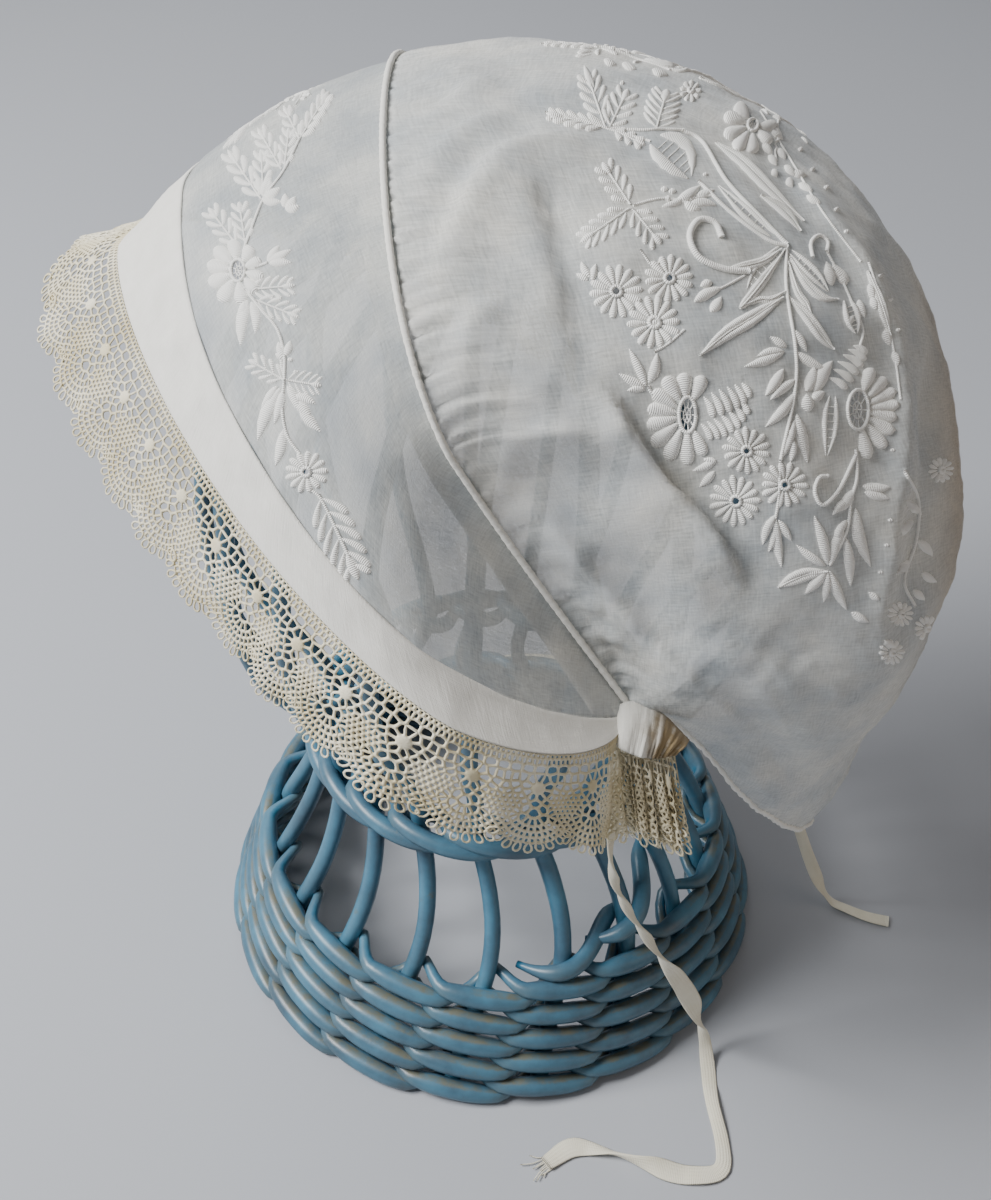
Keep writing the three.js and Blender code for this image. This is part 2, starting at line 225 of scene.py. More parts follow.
# Ecru linen lace thread, washed: matt and uneven in colour, with a fine fibre that breaks up the light
def lacePaint():
    material, surface = startMaterial("linen lace thread", Roughness=0.85, Sheen_Weight=0.15)
    place = addNode(material, "ShaderNodeTexCoord")
    blotch = addNode(material, "ShaderNodeTexNoise", links={"Vector": place.outputs["Object"]},
                     inputs={"Scale": 90.0, "Detail": 4.0})
    tint = addNode(material, "ShaderNodeValToRGB", links={"Fac": blotch.outputs["Fac"]},
                   ramp=[(0.3, "#cfc29b"), (0.68, "#f1ead2")])
    plug(material, tint.outputs["Color"], surface, "Base Color")
    fibre = addNode(material, "ShaderNodeTexNoise", links={"Vector": place.outputs["Object"]},
                    inputs={"Scale": 2500.0, "Detail": 2.0})
    bump = addNode(material, "ShaderNodeBump", links={"Height": fibre.outputs["Fac"]},
                   inputs={"Strength": 0.5, "Distance": 0.0001})
    plug(material, bump.outputs["Normal"], surface, "Normal")
    return material


# Soft white embroidery cotton: satin stitches lie side by side, 0.45 mm apart, and catch the light
def satinCotton():
    material, surface = startMaterial("embroidery cotton", Roughness=0.6, Base_Color=linear("#fdfcf7"),
                                      Sheen_Weight=0.2)
    stitches = threadLines(material, 'X', 0.45)
    bump = addNode(material, "ShaderNodeBump", links={"Height": stitches.outputs["Fac"]},
                   inputs={"Strength": 0.7, "Distance": 0.00022})
    plug(material, bump.outputs["Normal"], surface, "Normal")
    return material


# Cream cotton tape: a flat plain weave with a rib along it
def cottonTape():
    material, surface = startMaterial("cotton tape", Roughness=0.85, Sheen_Weight=0.2)
    ribs = threadLines(material, 'X', 0.5)
    picks = threadLines(material, 'Y', 0.6)
    both = addNode(material, "ShaderNodeMath", links={0: ribs.outputs["Fac"], 1: picks.outputs["Fac"]},
                   operation='ADD')
    blotch = slubNoise(material, 0.12, (1, 1), 3.0)
    tint = addNode(material, "ShaderNodeValToRGB", links={"Fac": blotch.outputs["Fac"]},
                   ramp=[(0.0, "#ddd6bd"), (1.0, "#f0ecdc")])
    plug(material, tint.outputs["Color"], surface, "Base Color")
    bump = addNode(material, "ShaderNodeBump", links={"Height": both.outputs[0]},
                   inputs={"Strength": 0.4, "Distance": 0.0002})
    plug(material, bump.outputs["Normal"], surface, "Normal")
    return material


# Willow cane in gloss oil paint, brushed on by hand, so its blue is uneven. It is worn and dirty, a dull
# brown, in chance spots. In hollows and where the attribute "stainAndShade" says that rods rub or dive in,
# the same dull brown is partly dirt and wear and partly painted shade.
def bluePaint():
    material, surface = startMaterial("blue gloss paint on willow", Roughness=0.42, Coat_Weight=0.18,
                                      Coat_Roughness=0.25)
    place = addNode(material, "ShaderNodeTexCoord")
    broad = addNode(material, "ShaderNodeTexNoise", links={"Vector": place.outputs["Object"]},
                    inputs={"Scale": 55.0, "Detail": 5.0, "Roughness": 0.6})
    tint = addNode(material, "ShaderNodeValToRGB", links={"Fac": broad.outputs["Fac"]},
                   ramp=[(0.32, "#164f6e"), (0.7, "#3a86a9")])
    grime = addNode(material, "ShaderNodeTexNoise", links={"Vector": place.outputs["Object"]},
                    inputs={"Scale": 130.0, "Detail": 6.0, "Roughness": 0.7})
    # painted shade in hollows: low pointiness turns the paint dull brown, along with the dirt that collects
    # there
    geometry = addNode(material, "ShaderNodeNewGeometry")
    hollowDirtAndShade = addNode(material, "ShaderNodeMapRange", links={"Value": geometry.outputs["Pointiness"]},
                     inputs={"From Min": 0.4, "From Max": 0.48, "To Min": 0.7, "To Max": 0.0})
    spots = addNode(material, "ShaderNodeMapRange", links={"Value": grime.outputs["Fac"]},
                    inputs={"From Min": 0.57, "From Max": 0.72, "To Min": 0.0, "To Max": 0.7})
    # painted shade with wear and dirt where rods meet, read from the attribute
    wornAndShaded = addNode(material, "ShaderNodeAttribute", attribute_name="stainAndShade")
    uneven = addNode(material, "ShaderNodeMath", links={0: wornAndShaded.outputs["Fac"], 1: grime.outputs["Fac"]},
                     operation='MULTIPLY')
    dirtAndShade = addNode(material, "ShaderNodeMapRange", links={"Value": uneven.outputs[0]},
                   inputs={"From Min": 0.18, "From Max": 0.5, "To Min": 0.0, "To Max": 0.9})
    dirtShadeAndSpots = addNode(material, "ShaderNodeMath", operation='MAXIMUM',
                     links={0: dirtAndShade.outputs["Result"], 1: spots.outputs["Result"]})
    wearAndShade = addNode(material, "ShaderNodeMath", operation='MAXIMUM',
                   links={0: hollowDirtAndShade.outputs["Result"], 1: dirtShadeAndSpots.outputs[0]})
    # dull brown #6a6753: dirt, and painted shade in hollows and where rods meet
    mix = addNode(material, "ShaderNodeMix", inputs={7: linear("#6a6753")}, data_type='RGBA',
                  links={0: wearAndShade.outputs[0], 6: tint.outputs["Color"]})
    plug(material, mix.outputs[2], surface, "Base Color")
    bump = addNode(material, "ShaderNodeBump", links={"Height": grime.outputs["Fac"]},
                   inputs={"Strength": 0.35, "Distance": 0.0004})
    plug(material, bump.outputs["Normal"], surface, "Normal")
    return material


batiste = sheerBatiste("batiste, washed", "#bdc3c6", "#e6e5de", (0.46, 0.8))
bandBatiste = sheerBatiste("batiste, washed, stretched over the form", "#b3b9bc", "#d9dad5", (0.42, 0.73))
hemCotton = doubledCotton("cotton hem, doubled", "#dcdad1", "#f4f2ec")
yellowedAndShadedCotton = doubledCotton("cotton, yellowed at the tie, with painted shade", "#94805c", "#dedcd4", True)
laceThread = lacePaint()
embroideryCotton = satinCotton()
tapeCotton = cottonTape()
paintedCane = bluePaint()
print("materials made")


# Pieces
def addPiece(name, vertices, faces, material, uv=None, stainAndShade=None):
    mesh = bpy.data.meshes.new(name)
    spots = [tuple(spot) for spot in toFrame(vertices)]
    mesh.from_pydata(spots, [], [tuple(int(i) for i in face) for face in faces])
    if uv is not None:
        layer = mesh.uv_layers.new(name="UVMap")
        corners = np.empty(len(mesh.loops), dtype=np.int32)
        mesh.loops.foreach_get("vertex_index", corners)
        layer.data.foreach_set("uv", np.asarray(uv, np.float32)[corners].ravel())
    if stainAndShade is not None:
        layer = mesh.attributes.new("stainAndShade", 'FLOAT', 'POINT')
        layer.data.foreach_set("value", np.asarray(stainAndShade, np.float32))
    mesh.materials.append(material)
    mesh.shade_smooth()
    piece = bpy.data.objects.new(name, mesh)
    bpy.context.collection.objects.link(piece)
    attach(piece, "root")
    return piece


def applied(piece, kind, **settings):
    bpy.ops.object.select_all(action='DESELECT')
    bpy.context.view_layer.objects.active = piece
    piece.select_set(True)
    modifier = piece.modifiers.new(kind.title(), kind)
    for name, value in settings.items():
        setattr(modifier, name, value)
    bpy.ops.object.modifier_apply(modifier=modifier.name)
    piece.select_set(False)
    return piece


def gridFaces(rows, columns, closedRows=False, closedColumns=False):
    i, j = np.meshgrid(np.arange(rows - (not closedRows)), np.arange(columns - (not closedColumns)),
                       indexing='ij')
    i, j = i.ravel(), j.ravel()
    below, beside = (i + 1) % rows, (j + 1) % columns
    return np.stack([i * columns + j, i * columns + beside, below * columns + beside, below * columns + j], 1)


def joined(parts):
    # one mesh from (vertices, faces, uv) lists
    vertices, faces, uvs, start = [], [], [], 0
    for points, quads, uv in parts:
        vertices.append(points)
        uvs.append(uv)
        faces.extend([[i + start for i in face] for face in quads])
        start += len(points)
    return np.concatenate(vertices), faces, np.concatenate(uvs)


def distances(line, power=1):
    # how far along the line each of its points is
    return np.concatenate([[0], np.cumsum(np.linalg.norm(np.diff(line, axis=0), axis=1) ** power)])


def curve(points, knots, places):
    # a smooth curve through the points, which lie at the knots, read at the places
    table = [dict(enumerate(point), at=knot) for knot, point in zip(knots, np.asarray(points, float))]
    return np.stack([tableValue(table, "at", places, axis) for axis in range(len(points[0]))], 1)


def alongLine(points, spacing):
    # a smooth line through the points, cut at even steps
    knots = distances(points, 0.5)
    return evenly(curve(points, knots, np.linspace(0, knots[-1], 40 * len(points))), spacing)


def evenly(line, spacing):
    length = distances(line)
    count = max(int(round(length[-1] / spacing)), 2)
    places = np.linspace(0, length[-1], count + 1)
    return np.stack([np.interp(places, length, line[:, axis]) for axis in range(3)], 1), places


def sweep(centres, wide, thick, closed=False, sides=10):
    # a rod or ribbon: wide and thick are its half axes as vectors, one for each point of its line
    turn = np.linspace(0, 2 * math.pi, sides, endpoint=False)
    rings = (centres[:, None] + wide[:, None] * np.cos(turn)[None, :, None]
             + thick[:, None] * np.sin(turn)[None, :, None])
    vertices = rings.reshape(-1, 3)
    faces = [list(face) for face in gridFaces(len(centres), sides, closed, True)]
    if not closed:
        faces.append(list(range(sides)))
        faces.append(list(range(len(vertices) - 1, len(vertices) - 1 - sides, -1)))
    around = np.abs(np.linspace(-1, 1, sides)) * np.linalg.norm(wide, axis=1).mean() * 2
    uv = np.stack(np.meshgrid(distances(centres), around, indexing='ij'), -1)
    return vertices, faces, uv.reshape(-1, 2)


def tube(centres, radius, sides=8, closed=False, guide=(0, 0, 1)):
    if closed:
        ahead = unit(np.roll(centres, -1, 0) - np.roll(centres, 1, 0))
    else:
        ahead = unit(np.gradient(centres, axis=0))
    side = np.cross(ahead, np.broadcast_to(guide, ahead.shape))
    weak = np.linalg.norm(side, axis=1) < 0.1
    side[weak] = np.cross(ahead[weak], (1, 0, 0))
    side = unit(side)
    radius = np.broadcast_to(np.asarray(radius, float), len(centres))[:, None]
    return sweep(centres, side * radius, np.cross(side, ahead) * radius, closed, sides)


# The cap's cloth is a fan of arches about the line through both chin corners, as in the part's source
cap = {
    "hinge": (35, 155.5), "cornerOut": 80, "lean": 0.11, "sideShift": 2, "shoulder": 0.64,
    "middle": (15, 3, 165), "faceTurn": 149, "hemTurn": 9.5, "seamTurn": 117, "neckTurn": -58,
}
archColumns = ("turn", "reach", "half", "widest", "corner", "full", "sweep")
arches = [dict(zip(archColumns, row)) for row in (
    (149, 149.5, 109, 0.30, 3, 1.5, 6.5),
    (133, 140.5, 90, 0.46, 3, 1.8, 7),
    (117, 130, 77.5, 0.60, 3, 2, 8),
    (92, 118.5, 79.5, 0.56, 3, 2, 4.5),
    (65, 108, 85, 0.50, 3, 2, 1.5),
    (39, 99.5, 86.5, 0.46, 3.2, 2, 0),
    (15, 92, 85, 0.45, 3.5, 2.05, -0.5),
    (-10, 87.5, 79, 0.42, 4, 1.95, 0),
    (-35, 96, 71, 0.38, 4.5, 1.7, 2.6),
    (-58, 127, 63, 0.33, 5, 1.4, 6.5),
)]


def archPoints(turn, across):
    turn, across = np.broadcast_arrays(np.asarray(turn, float), np.asarray(across, float))
    shape = [tableValue(arches, "turn", turn, column) for column in archColumns[1:]]
    reach, half, widest, corner, full, sweepBy = shape
    side = np.abs(across)
    widestAt = corner + (reach - corner) * widest
    power = 2 / full
    upper = np.minimum(side / cap["shoulder"], 1) * math.pi / 2
    lower = np.clip((side - cap["shoulder"]) / (1 - cap["shoulder"]), 0, 1) * math.pi / 2
    isUpper = side <= cap["shoulder"]
    out = np.where(isUpper, half * np.sin(upper) ** power,
                   half + (cap["cornerOut"] - half) * (1 - np.cos(lower)))
    away = np.where(isUpper, widestAt + (reach - widestAt) * np.maximum(np.cos(upper), 0) ** power,
                    widestAt + (corner - widestAt) * np.sin(lower))
    plane = np.radians(turn + sweepBy * np.sin(side * math.pi / 2) ** 2)
    z = away * np.sin(plane)
    return np.stack([cap["hinge"][0] + away * np.cos(plane),
                     np.sign(across) * out + cap["lean"] * z + cap["sideShift"], cap["hinge"][1] + z], -1)


def turnedOver(points):
    # the same places on the cap's other side
    over = points.copy()
    middle = cap["lean"] * (points[..., 2] - cap["hinge"][1]) + cap["sideShift"]
    over[..., 1] = 2 * middle - points[..., 1]
    return over


def lifted(points, lift):
    return points + unit(points - np.array(cap["middle"])) * np.asarray(lift)[..., None]


def surfaceTree(points, rows, columns):
    return BVHTree.FromPolygons([Vector(p) for p in points.reshape(-1, 3)],
                                [tuple(int(i) for i in face) for face in gridFaces(rows, columns)])


def hitPixel(tree, pixel):
    spot = tree.ray_cast(Vector(cameraPlace), Vector(pixelRay(pixel)))[0]
    return None if spot is None else np.array(spot)


smoothTurns = np.linspace(cap["faceTurn"], cap["neckTurn"], 90)
smoothAcross = np.linspace(-1, 1, 121)
smoothCap = archPoints(smoothTurns[:, None], smoothAcross[None, :])
smoothTree = surfaceTree(smoothCap, len(smoothTurns), len(smoothAcross))

# Folds of the crown, each with its height, a step that lowers the cloth on one side and the spread of its
# left and right flank, all in mm, and its route. The photo shows the first ones, and their routes are its
# pixels. The others' routes are (turn, across).
foldColumns = ("height", "step", "left", "right", "route")
seenFolds = [dict(zip(foldColumns, row)) for row in (
    (-2.2, 0, 5, 3, [(539, 145), (554, 216), (571, 288), (594, 394)]),
    (1.4, 0, 3, 9, [(524, 150), (538, 220), (554, 290), (575, 385)]),
    (0, -3.6, 9, 14, [(600, 370), (640, 437), (669, 478), (706, 515), (729, 548), (744, 582), (756, 604)]),
    (4.4, 0, 3.5, 9, [(480, 500), (512, 506), (548, 526), (610, 598), (665, 655), (722, 706), (748, 748)]),
    (-2.8, 0, 3, 3, [(492, 530), (523, 550), (560, 590), (600, 634), (650, 690)]),
    (2.0, 0, 2, 3, [(462, 520), (476, 500), (500, 478), (512, 440)]),
    (1.9, 0, 2, 2.6, [(484, 548), (496, 532), (520, 520), (545, 516)]),
    (1.7, 0, 2, 2.6, [(498, 568), (516, 556), (540, 552), (566, 560)]),
    (1.7, 0, 2, 2.4, [(540, 612), (556, 604), (580, 602), (606, 612)]),
    (1.6, 0, 2, 2.4, [(566, 640), (590, 634), (620, 640), (650, 660)]),
    (3.6, 0, 8, 4, [(784, 138), (806, 183), (826, 217), (857, 256), (879, 312), (897, 340), (902, 400),
      (895, 503), (885, 576), (877, 605), (876, 664), (847, 722)]),
    (-3.6, 0, 9, 9, [(930, 330), (938, 420), (930, 520), (915, 600), (890, 660)]),
    (2.2, 0, 2.6, 4, [(386, 102), (427, 82), (485, 62)]),
    (2.8, 0, 2.6, 5, [(388, 166), (420, 130), (456, 98), (493, 66)]),
    (3.4, 0, 2.8, 5, [(392, 250), (410, 200), (436, 155), (485, 118), (525, 114)]),
    (3.6, 0, 2.8, 6, [(424, 320), (440, 262), (456, 225), (485, 170), (520, 145), (600, 134)]),
    (2.6, 0, 2.8, 5, [(446, 430), (462, 340), (480, 312), (512, 290)]),
    (-1.8, 0, 4, 4, [(410, 262), (432, 226), (456, 178), (500, 130)]),
    (2.0, 0, 3.5, 5, [(470, 470), (520, 440), (600, 430)]),
    (-1.6, 0, 4, 4, [(480, 500), (540, 470), (610, 470), (650, 500)]),
    (1.8, 0, 5, 6, [(590, 480), (640, 520), (690, 580), (720, 640)]),
    (2.2, 0, 4, 6, [(640, 640), (700, 650), (760, 690), (800, 750)]),
    (-3.4, 0, 5, 6, [(655, 690), (720, 700), (770, 740), (790, 790)]),
    (2.6, 0, 5, 5, [(738, 752), (765, 790), (785, 815)]),
    (2.2, 0, 2.6, 3, [(496, 552), (540, 580), (600, 600)]),
    (1.8, 0, 2.6, 3, [(560, 606), (590, 622), (628, 650)]),
    (-1.8, 0, 2.6, 3, [(520, 552), (560, 572), (610, 600)]),
    (-1.6, 0, 5, 5, [(760, 640), (800, 660), (850, 650)]),
    (1.8, 0, 5, 5, [(745, 625), (790, 690), (820, 760)]),
)]
hiddenFolds = [dict(zip(foldColumns, row)) for row in (
    (-3.5, 0, 8, 9, [(96, 0.3), (84, 0.5), (62, 0.62)]),
    (3.0, 0, 9, 9, [(104, 0.7), (70, 0.78), (20, 0.78), (-30, 0.66)]),
    (2.4, 0, 6, 8, [(60, 0.12), (30, 0.2), (0, 0.18), (-30, 0.1)]),
    (-2.6, 0, 6, 7, [(40, 0.34), (10, 0.4), (-30, 0.36)]),
    (2.0, 0, 5, 6, [(20, 0.52), (-10, 0.5), (-45, 0.42)]),
    (1.6, 0, 4, 5, [(110, 0.15), (96, 0.2)]),
    (1.6, 0, 4, 5, [(110, 0.35), (98, 0.42)]),
)]


def foldLine(fold, seen):
    if seen:
        points = [hitPixel(smoothTree, pixel) for pixel in fold["route"]]
        points = [p for p in points if p is not None]
    else:
        points = [archPoints(turn, across) for turn, across in fold["route"]]
    return alongLine(points, 6)[0]


foldLines = [(fold, foldLine(fold, True)) for fold in seenFolds]
foldLines += [(fold, foldLine(fold, False)) for fold in hiddenFolds]
foldShape = {"rises": 0.25, "falls": 0.7, "sharpness": 1.25, "stepWidth": 0.9, "stepSharpness": 1.4}


def foldHeights(points):
    total = np.zeros(len(points))
    outward = unit(points - np.array(cap["middle"]))
    for fold, line in foldLines:
        best = np.full(len(points), 1e9)
        signed = np.zeros(len(points))
        reached = np.zeros(len(points))
        for number, (start, end) in enumerate(zip(line[:-1], line[1:])):
            along = end - start
            share = np.clip((points - start) @ along / (along @ along), 0, 1)
            apart = points - start - share[:, None] * along
            distance = np.linalg.norm(apart, axis=1)
            nearer = distance < best
            best[nearer] = distance[nearer]
            reached[nearer] = (number + share[nearer]) / (len(line) - 1)
            leftward = np.cross(outward[nearer], along)
            signed[nearer] = np.sign((leftward * apart[nearer]).sum(1))
        spread = np.where(signed > 0, fold["left"], fold["right"])
        taper = smooth(0, foldShape["rises"], reached) * smooth(1, foldShape["falls"], reached)
        total += fold["height"] * np.exp(-((best / spread) ** foldShape["sharpness"])) * taper
        if fold["step"]:
            side = np.tanh(signed * best / foldShape["stepWidth"])
            total += fold["step"] * side * np.exp(-((best / spread) ** foldShape["stepSharpness"])) * taper
    return total


# Fine gathers that run back from the piped seam, and soft creases of washed cloth
crown = {
    "rows": 150, "columns": 300, "thick": 0.3, "gatherHeight": 0.95, "gatherReach": 9, "gatherPitch": 4.2,
    "gatherShares": (0.6, 0.83, 1.0, 1.37, 1.9), "gatherSum": 2.2,
    "creases": ((46, 7, 0.5), (24, 11, 0.3), (12, 8, 0.13)),   # size, seed and height of each kind
    "domeMiddle": (52, 0, 165), "domeSide": (0.25, -0.8, 0.55), "domeRadius": 82,
    # stainAndShade browns the crown's back from 98 to 122 mm: painted shade of the side away from the light,
    # with yellowing
    "flat": (0.33, 0.24), "stainAndShade": 0.85, "stainAndShadeFrom": (98, 122),
}


def gathers(alongSeam, distance, seed):
    random = np.random.default_rng(seed)
    total = np.zeros(alongSeam.shape)
    for share in crown["gatherShares"]:
        phase = random.uniform(0, 2 * math.pi)
        drift = random.uniform(-0.12, 0.12)
        turn = 2 * math.pi * (alongSeam + drift * distance) / (crown["gatherPitch"] / share) + phase
        total += np.sin(turn) * random.uniform(0.5, 1.0)
    return total / crown["gatherSum"]


def creases(points, size, seed, count=14):
    # a few long soft waves in chance directions, folded sharp
    random = np.random.default_rng(seed)
    total = np.zeros(len(points))
    for _ in range(count):
        way = unit(random.normal(size=3))
        length = size * random.uniform(0.6, 1.8)
        wave = np.sin(2 * math.pi * (points @ way) / length + random.uniform(0, 6.28))
        total += 1 - 2 * np.abs(wave) ** 0.8
    return total / math.sqrt(count)


def crownPoints(turns, places):
    base = archPoints(turns[:, None], places[None, :])
    seam = archPoints(np.full_like(places, cap["seamTurn"]), places)
    alongSeam = distances(seam)
    flat = base.reshape(-1, 3)
    fromSeam = np.linalg.norm(base - seam[None], axis=2)
    fade = smooth(0, 12, cap["seamTurn"] - turns)[:, None]
    height = foldHeights(flat).reshape(base.shape[:2]) * fade
    fine = gathers(alongSeam[None, :] + 0 * fromSeam, fromSeam, 4) * crown["gatherHeight"]
    height += fine * np.exp(-fromSeam / crown["gatherReach"]) * smooth(0, 1.5, fromSeam)
    for size, seed, strength in crown["creases"]:
        height += creases(flat, size, seed).reshape(base.shape[:2]) * strength * fade
    return lifted(base, height)


def threadPlaces(points):
    # the crown's threads run straight over each half of the dome: both are spread flat about their middles
    folded = np.stack([points[:, 0], -np.abs(points[:, 1]), points[:, 2]], 1)
    away = unit(folded - np.array(crown["domeMiddle"]))
    middle = unit(crown["domeSide"])
    across = unit(np.cross([0, 0, 1], -middle))
    up = np.cross(across, -middle)
    spread = crown["domeRadius"] * np.sqrt(2 / (1 + np.clip(away @ middle, -0.7, 1)))
    return np.stack([spread * (away @ across), spread * (away @ up)], 1)


def addCrown():
    turns = np.linspace(cap["seamTurn"] - 0.1, cap["neckTurn"], crown["rows"])
    places = np.linspace(-1, 1, crown["columns"])
    points = crownPoints(turns, places)
    uv = threadPlaces(points.reshape(-1, 3))
    # painted shade with yellowing: browner towards the back of the crown, which faces away from the light
    stainAndShade = crown["stainAndShade"] * smooth(*crown["stainAndShadeFrom"], points[..., 0].ravel())
    faces = gridFaces(len(turns), len(places))
    piece = addPiece("crown_cloth", points.reshape(-1, 3), faces, batiste, uv, stainAndShade)
    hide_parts("crown")
    return piece, points, surfaceTree(points, len(turns), len(places))


crownCloth, crownGrid, crownTree = addCrown()
print("crown made")


# Front band, its turned hem along the face edge, and the piped seam
band = {
    "rows": 34, "columns": 300, "thick": 0.3, "lift": -0.25, "underHem": 3.4, "wave": 0.25, "creaseSize": 38,
    "seed": 21, "flat": (0.36, 0.055),
    "dips": ((0.6, -1.0, 0.6), (1.5, 0.5, 2.2)),         # depth, and where it starts and ends past the hem
}
allowance = {"rows": 6, "wide": 6.5, "lift": -0.75, "flat": (0.30, 0.01), "area": 0.002}
hem = {
    "thick": 1.25, "width": 24, "columns": 420, "around": 26, "wave": 0.42, "creaseSize": 26, "seed": 31,
    "narrower": 0.17, "edge": 0.4, "flat": (0.40, 0.0195),
}
bandPlaces = np.linspace(-1, 1, band["columns"])[None, :]


def hemTurnAt(places):
    side = np.abs(places)
    return cap["hemTurn"] * (1 - hem["narrower"] * smooth(0.05, 0.3, side) * smooth(0.9, 0.72, side))


def laidStrip(fromTurn, toTurn, rows, lift):
    # cloth between two turns of the fan, that dips under the hem, and its place on the flat cloth in mm
    turn = fromTurn + (toTurn - fromTurn) * np.linspace(0, 1, rows)[:, None] + 0 * bandPlaces
    base = archPoints(turn, np.broadcast_to(bandPlaces, turn.shape))
    wave = creases(base.reshape(-1, 3), band["creaseSize"], band["seed"]).reshape(turn.shape)
    height = lift + wave * band["wave"]
    under = turn - (cap["faceTurn"] - hemTurnAt(bandPlaces))
    for depth, start, end in band["dips"]:
        height -= depth * smooth(start, end, under)
    points = lifted(base, height)
    alongRow = np.cumsum(np.linalg.norm(np.diff(points, axis=1, prepend=points[:, :1]), axis=2), axis=1)
    alongColumn = np.cumsum(np.linalg.norm(np.diff(points, axis=0, prepend=points[:1]), axis=2), axis=0)
    return points, np.stack([alongRow.mean(0)[None, :] + 0 * alongColumn, alongColumn], -1).reshape(-1, 2)


def turnBehind(turn, places, distance):
    middle = archPoints(turn, places)
    hinge = np.array([cap["hinge"][0], 0, cap["hinge"][1]])
    away = np.linalg.norm((middle - hinge)[..., [0, 2]], axis=-1)
    return turn - np.degrees(distance / np.maximum(away, 2))


def addBand():
    hemEdge = cap["faceTurn"] - cap["hemTurn"]
    points, uv = laidStrip(hemEdge + band["underHem"], cap["seamTurn"], band["rows"], band["lift"])
    piece = addPiece("front_band_cloth", points.reshape(-1, 3), gridFaces(band["rows"], band["columns"]),
                     bandBatiste, uv)
    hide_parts("front_band")
    return piece, surfaceTree(points, band["rows"], band["columns"])


def addAllowance():
    # the seam's spare cloth, turned in behind the band
    seam = cap["seamTurn"]
    points, uv = laidStrip(turnBehind(seam, bandPlaces, -allowance["wide"]), seam, allowance["rows"],
                           allowance["lift"])
    piece = addPiece("seam_allowance", points.reshape(-1, 3), gridFaces(allowance["rows"], band["columns"]),
                     hemCotton, uv)
    applied(piece, 'SOLIDIFY', thickness=band["thick"] * mm, offset=0)


def addHem():
    places = np.linspace(-1, 1, hem["columns"])
    around = np.linspace(0, 2 * math.pi, hem["around"], endpoint=False)
    share = 0.5 - 0.5 * np.cos(around)
    lift = hem["thick"] / 2 * np.sign(np.sin(around)) * np.abs(np.sin(around)) ** hem["edge"]
    turn = cap["faceTurn"] - hemTurnAt(places)[:, None] * share[None, :]
    base = archPoints(turn, np.broadcast_to(places[:, None], turn.shape))
    wave = creases(base.reshape(-1, 3), hem["creaseSize"], hem["seed"]).reshape(base.shape[:2])
    wave = wave * hem["wave"] * np.sin(share * math.pi)[None]
    points = lifted(base, lift[None, :] - hem["thick"] / 2 + wave)
    alongEdge = np.cumsum(np.linalg.norm(np.diff(base[:, 0], axis=0, prepend=base[:1, 0]), axis=1))
    uv = np.stack(np.meshgrid(alongEdge, share * hem["width"], indexing='ij'), -1).reshape(-1, 2)
    faces = [list(face) for face in gridFaces(len(places), len(share), False, True)]
    faces.append(list(range(len(share))))
    faces.append(list(range(len(places) * len(share) - 1, (len(places) - 1) * len(share) - 1, -1)))
    piece = addPiece("front_hem_cloth", points.reshape(-1, 3), faces, hemCotton, uv)
    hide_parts("front_hem")


# Cloth rolled round a thin cord: the cord's twist shows as small knots, pace radians a step
piping = {"radius": 0.8, "step": 0.9, "knots": 0.09, "pace": 2.4, "uneven": 0.03, "seed": 5, "lift": 0.75,
          "end": 0.985}
casing = {"radius": 0.85, "step": 0.8, "knots": 0.22, "pace": 1.3, "uneven": 0.05, "seed": 6}


def addRoll(name, line, values):
    line = evenly(line, values["step"])[0]
    uneven = np.random.default_rng(values["seed"]).normal(0, values["uneven"], len(line))
    knots = 1 + values["knots"] * np.sin(np.arange(len(line)) * values["pace"]) + uneven
    vertices, faces, uv = tube(line, values["radius"] * knots, 8)
    return addPiece(name, vertices, faces, hemCotton, uv)


def addPiping():
    places = np.linspace(-piping["end"], piping["end"], 420)
    seam = archPoints(np.full_like(places, cap["seamTurn"]), places)
    piece = addRoll("seam_piping_cord", lifted(seam, np.full(len(places), piping["lift"])), piping)
    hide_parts("seam_piping")


bandCloth, bandTree = addBand()
addAllowance()
addHem()
addPiping()
# the neck edge is rolled round a drawstring that comes out at the nape
addRoll("neck_casing", crownGrid[-1], casing)
print("band, hem, piping and neck casing made")


